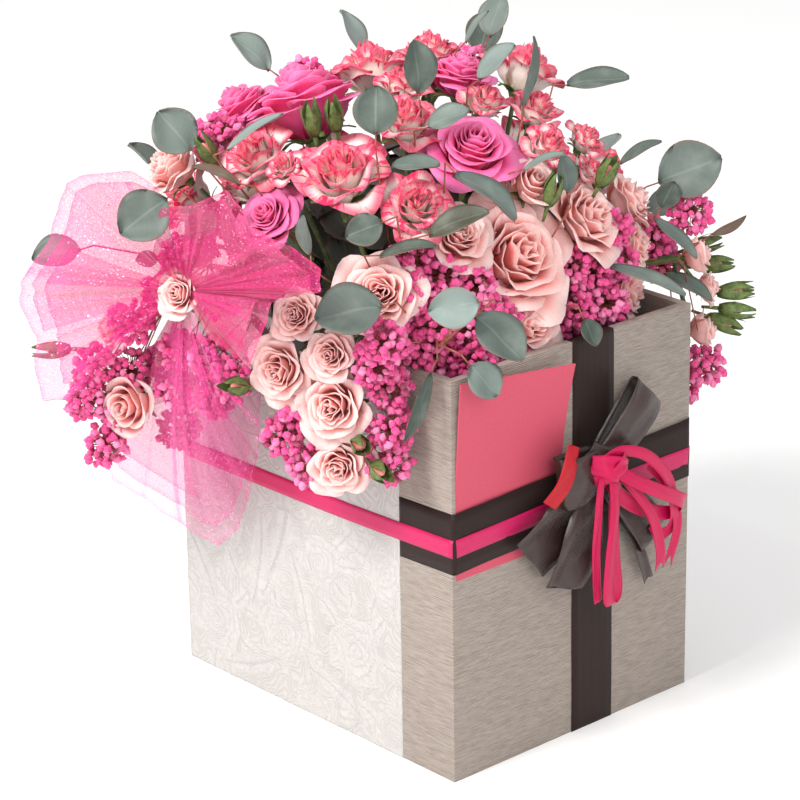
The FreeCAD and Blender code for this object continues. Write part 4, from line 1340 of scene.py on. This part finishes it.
def make_bow():
    """Brown loops and tails, the knot and tails of pink ribbon over them, and a red tab."""
    bm = bmesh.new()
    loop(bm, (-4, 2), 43, 42, 33, 0.55, 16, 5)
    loop(bm, (-6, 5), -38, -5, 37, 0.55, 20, 7)
    loop(bm, (6, -12), 43, -52, 30, 0.45, 12, 4)
    tail(bm, [(-6, 9, -2), (-28, 11, -18), (-48, 11, -34), (-67, 9, -49)], 38, 0.0, 0.35, 1.5)
    tail(bm, [(-9, 12, -4), (-20, 16, -26), (-31, 17, -50), (-39, 14, -75)], 38, -0.10, 0.35,
         1.8)
    tail(bm, [(18, 5, -38), (31, 7, -60), (41, 7, -82), (48, 6, -98)], 9, 0.08, 0.9, 0.4)
    tail(bm, [(-22, 17, 18), (-10, 21, 8), (0, 21, -4), (6, 16, -16)], 20, 0.0, 0.8, 1.2)
    brown = piece("bow_brown_satin", bm, "box", ["brown_bow"], "bow_brown")
    bm = bmesh.new()
    tail(bm, [(-24, 21, 10), (-17, 29, 9), (-7, 31, 5), (3, 24, -2)], 17, 0.0, 0.7, 0.9,
         cells=(20, 8))
    tail(bm, [(-22, 22, -2), (-13, 31, 2), (-3, 31, 9), (6, 23, 12)], 10, 0.0, 0.8, 0.6,
         cells=(20, 6))
    tail(bm, [(-11, 22, 8), (8, 28, -7), (31, 30, -21), (54, 28, -34), (63, 23, -41),
              (55, 17, -47), (31, 17, -38), (6, 19, -21), (-8, 21, -4)], 10.5, 0.0, 0.8, 0.4,
         (0.55, 0, 0.84), (70, 6))
    tail(bm, [(-15, 23, 11), (-3, 28, 16), (17, 29, 9), (34, 28, -5), (46, 26, -21),
              (55, 22, -45), (55, 18, -58), (47, 16, -61), (41, 15, -52)], 8.5, 0.0, 0.8, 0.3,
         cells=(70, 4))
    tail(bm, [(-10, 27, 6), (-10, 30, -22), (-14, 30, -55), (-14, 28, -84), (-7, 25, -93),
              (0, 22, -85), (-3, 22, -56), (-5, 23, -28), (-4, 24, -6)], 9.5, 0.0, 0.8, 0.4,
         (1, 0, 0.05), (90, 4))
    tail(bm, [(-13, 25, 10), (-20, 27, -4), (-23, 27, -28), (-24, 26, -49), (-21, 24, -75),
              (-17, 22, -89)], 7.5, 0.0, 0.7, 0.5)
    tail(bm, [(4, 24, -6), (28, 25, -36), (40, 23, -65), (44, 20, -84)], 9, 0.12, 0.6, 0.4)
    tail(bm, [(30, 22, -4), (49, 22, -26), (60, 20, -56), (54, 17, -87)], 8.5, 0.12, 0.8,
         0.4)
    pink = piece("bow_pink_satin", bm, "box", ["pink_bow"], "bow_pink")
    bm = bmesh.new()
    tail(bm, [(-38, 19, 27), (-44, 22, 15), (-51, 22, 3), (-60, 19, -9)], 14, 0.0, 0.8, 0.6,
         cells=(20, 6))
    red = piece("red_tab_satin", bm, "box", ["red"], "red_tab")
    return brown, pink, red


# The card's upright foot and the flap that leans out above it, and its curled corner.
CARD_FOOT = 57 * MM
CARD_FLAP = 80 * MM
CARD_THICK = 1.0 * MM
CARD_LEAN = math.radians(7)
CURL_OUT = 7.0 * MM
CURL_DOWN = 8.5 * MM


def make_card():
    """Card stock, upright behind the band and curling outwards above it."""
    low, high = box_of("card")
    bm = bmesh.new()

    def shape(u, v):
        x = low.x + (u + 1) / 2 * (high.x - low.x)
        run = v * (CARD_FOOT + CARD_FLAP)
        over = max(0.0, run - CARD_FOOT) / CARD_FLAP
        corner = (u + 1) / 2 * over ** 1.6
        y = high.y - CARD_FLAP * math.sin(CARD_LEAN) * 0.6 * over - CURL_OUT * corner
        rise = min(run, CARD_FOOT) + CARD_FLAP * math.cos(CARD_LEAN) * over
        return Vector((x, y, low.z + rise - CURL_DOWN * corner))

    faces = faces_of(shaped_grid(bm, 16, 40, shape, tint=0.5))
    bmesh.ops.recalc_face_normals(bm, faces=faces)
    if faces[0].normal.y > 0:
        bmesh.ops.reverse_faces(bm, faces=faces)
    bmesh.ops.solidify(bm, geom=faces, thickness=CARD_THICK)
    piece("card_stock", bm, "card", ["card"], "card", sharp=40)


# ---------------------------------------------------------------- tulle

# Where the net is gathered, and the way its wings face.
GATHER = Vector((-179, 41, 315)) * MM
WING_FACING = Vector((-0.75, -0.62, 0.2)).normalized()
WING_CELLS = (110, 26)
# The width of cloth in one pleat.
PLEAT_CLOTH = 45 * MM
# The outer edge of each fan, corner by corner from one end to the other, in mm.
TULLE_EDGES = {
    "tulle_left": [(-186, 44, 345), (-190, 50, 384), (-203, 62, 396), (-224, 82, 394),
                   (-234, 90, 388), (-243, 98, 352), (-258, 112, 322), (-259, 113, 311),
                   (-252, 107, 284), (-254, 108, 262), (-250, 105, 240), (-236, 92, 240),
                   (-222, 76, 262)],
    "tulle_centre": [(-204, 40, 345), (-205, 30, 378), (-205, -4, 388), (-205, -38, 405),
                     (-205, -60, 388), (-206, -100, 382), (-206, -126, 374),
                     (-206, -127, 360), (-205, -100, 352), (-205, -78, 341),
                     (-204, -66, 316), (-203, -53, 290), (-203, -28, 297), (-202, -6, 306)],
    "tulle_drop": [(-156, -6, 250), (-146, 12, 199), (-142, 25, 172), (-136, 47, 133),
                   (-130, 78, 108), (-130, 106, 112), (-132, 146, 118), (-136, 186, 128),
                   (-138, 190, 150), (-140, 184, 170), (-142, 150, 192),
                   (-146, 107, 212)],
}
# Layers of each fan: the part of the edge they follow, and how near to it they come.
TULLE_LAYERS = [(0.0, 1.0, 1.0), (0.10, 0.66, 0.92), (0.42, 0.97, 0.84)]
# Pleats of each fan, their depth in mm, and how thick the net looks.
TULLE_PLEATS = {"tulle_left": (5, 8.0, 0.40), "tulle_centre": (6, 9.0, 0.74),
                "tulle_drop": (6, 6.0, 0.20)}
# How far a fan's front part swells over the blossoms that it hangs across, in mm.
TULLE_BULGE = {"tulle_drop": 36.0}


def straight(points, share):
    """A point on straight runs between the given points, by share of the way."""
    first, t = leg_of(points, share)
    return Vector(points[first]).lerp(Vector(points[first + 1]), t)


def crease(phase):
    """A sharp fold: straight up and straight down."""
    return 2 * abs((phase % 1.0) * 2 - 1) - 1


def net_sheet(bm, number, node, part, sheet):
    """One layer of a wing: a grid fanned from the gather, pleated, crumpled and swollen."""
    first, last, size = part
    pleats, depth, body = TULLE_PLEATS[node]
    edge = TULLE_EDGES[node]
    middle = sum((Vector(point) for point in edge), Vector()) / len(edge) * MM
    reach = (middle - GATHER).length
    side, along = layer(bm, "strip_side"), layer(bm, "strip_run")
    thickness, fold_line = layer(bm, "net"), layer(bm, "fold")
    shift = 0.37 * sheet
    verts = bmesh.ops.create_grid(bm, x_segments=WING_CELLS[0], y_segments=WING_CELLS[1],
                                  size=1.0)["verts"]
    for vert in verts:
        s, t = vert.co.x / 2 + 0.5, vert.co.y / 2 + 0.5
        s = first + (last - first) * s
        fan = (0.03 + 0.97 * t) * size
        drift = noise.noise(Vector((s * 5 + shift * 9, 0.4, number)))
        phase = s * pleats + 0.55 * drift + shift
        strong = 0.6 + 0.7 * noise.noise(Vector((s * 8, 2.0 + shift, number)))
        fold = crease(phase) * strong + 0.35 * crease(phase * 2.7 + 0.3 * t)
        crumple = noise.noise(Vector((s * 11, t * 4, number + shift))) * 6.0
        swell = TULLE_BULGE.get(node, 0.0) * max(0.0, 1 - (s / 0.72) ** 3)
        out = fold * depth * fan ** 0.7 + crumple * fan
        out += 1.5 * sheet * t - 1.5 + swell * math.sin(math.pi * t)
        vert.co = GATHER + (straight(edge, s) * MM - GATHER) * fan + WING_FACING * out * MM
        vert[side], vert[along] = s * pleats * PLEAT_CLOTH, t * reach
        vert[thickness] = body + 0.35 * (1 - t) ** 1.5
        ridge = abs((phase * 2 + 0.5) % 1.0 - 0.5)
        sharp = min(max(0.45 + 1.6 * noise.noise(Vector((s * 9, 5.0, shift))), 0.0), 1.0)
        selvedge = 0.6 if t > 0.97 else 0.0
        vert[fold_line] = max(0.0, 1 - ridge / 0.10) * sharp + selvedge


def make_tulle():
    """Each wing is layers of net that fan out from where the cloth is gathered."""
    made = {}
    for number, node in enumerate(TULLE_EDGES):
        bm = bmesh.new()
        for name in ("strip_side", "strip_run", "net", "fold"):
            layer(bm, name)
        for sheet, part in enumerate(TULLE_LAYERS):
            net_sheet(bm, number, node, part, sheet)
        made[node] = piece(f"{node}_net", bm, "arrangement", ["tulle"], node)
    return made


# ---------------------------------------------------------------- camera and light

# Each soft lamp: its place, the point it faces, its power in watts, its size and colour.
LAMPS = {
    "key": ((-2.2, 0.0, 2.4), (0, 0, 0.25), 90, 1.0, (1.0, 0.985, 0.965)),
    "fill": ((-1.2, -2.8, 2.0), (0, 0, 0.3), 30, 1.3, (1, 1, 1)),
}
FLOOR_HALF = 6.0
FLOOR_COLOR = (0.97, 0.97, 0.97)
# The white room's own light, and how much brighter it is where the camera sees it.
ROOM_LIGHT = 0.78
ROOM_SEEN = 0.7
CAMERA_PLACE = (-1.41566, -1.54377, 0.98752)
CAMERA_LENS = 146.83
# Degrees from +Y towards +X, below level, and about its own axis.
CAMERA_YAW, CAMERA_PITCH, CAMERA_ROLL = 41.923, 20.530, -0.916


def make_lamp(name, place, target, power, size, color):
    light = bpy.data.lights.new(name, "AREA")
    light.energy = power
    light.color = color
    light.size = size
    item = bpy.data.objects.new(name, light)
    bpy.context.scene.collection.objects.link(item)
    item.location = place
    way = Vector(target) - Vector(place)
    item.rotation_euler = way.to_track_quat("-Z", "Y").to_euler()


def make_room(scene):
    """A pale floor under white light from all round."""
    bm = bmesh.new()
    bmesh.ops.create_grid(bm, x_segments=1, y_segments=1, size=FLOOR_HALF)
    mesh = finished("floor", bm)
    white, _, _ = material("pale_floor", 0.9, FLOOR_COLOR)
    mesh.materials.append(white)
    floor = bpy.data.objects.new("floor", mesh)
    scene.collection.objects.link(floor)
    world = bpy.data.worlds.new("white_room")
    world.use_nodes = True
    sky = world.node_tree
    sky.nodes["Background"].inputs["Color"].default_value = WHITE
    seen = add(sky, "ShaderNodeLightPath").outputs["Is Camera Ray"]
    strength = plus(sky, times(sky, seen, ROOM_SEEN), ROOM_LIGHT)
    join(sky, strength, sky.nodes["Background"].inputs["Strength"])
    scene.world = world


def make_camera(scene):
    camera = bpy.data.cameras.new("camera")
    camera.sensor_width = 36
    camera.lens = CAMERA_LENS
    item = bpy.data.objects.new("camera", camera)
    scene.collection.objects.link(item)
    scene.camera = item
    yaw, pitch, roll = (math.radians(angle)
                        for angle in (CAMERA_YAW, CAMERA_PITCH, CAMERA_ROLL))
    forward = Vector((math.sin(yaw) * math.cos(pitch), math.cos(yaw) * math.cos(pitch),
                      -math.sin(pitch)))
    level = Vector((math.cos(yaw), -math.sin(yaw), 0))
    upward = level.cross(forward)
    right = math.cos(roll) * level + math.sin(roll) * upward
    top = -math.sin(roll) * level + math.cos(roll) * upward
    turn = Matrix((right, top, -forward)).transposed().to_4x4()
    item.matrix_world = Matrix.Translation(CAMERA_PLACE) @ turn


def make_stage():
    scene = bpy.context.scene
    scene.view_settings.view_transform = "Standard"
    make_room(scene)
    for name, values in LAMPS.items():
        make_lamp(name, *values)
    make_camera(scene)


# ---------------------------------------------------------------- assembly

make_hard_pieces()
make_ivory_panels()
bands = make_bands()
bows = make_bow()
make_card()
make_blooms()
make_rosebuds()
make_gypsophila()
make_eucalyptus()
make_rose_foliage()
nets = make_tulle()
make_stage()
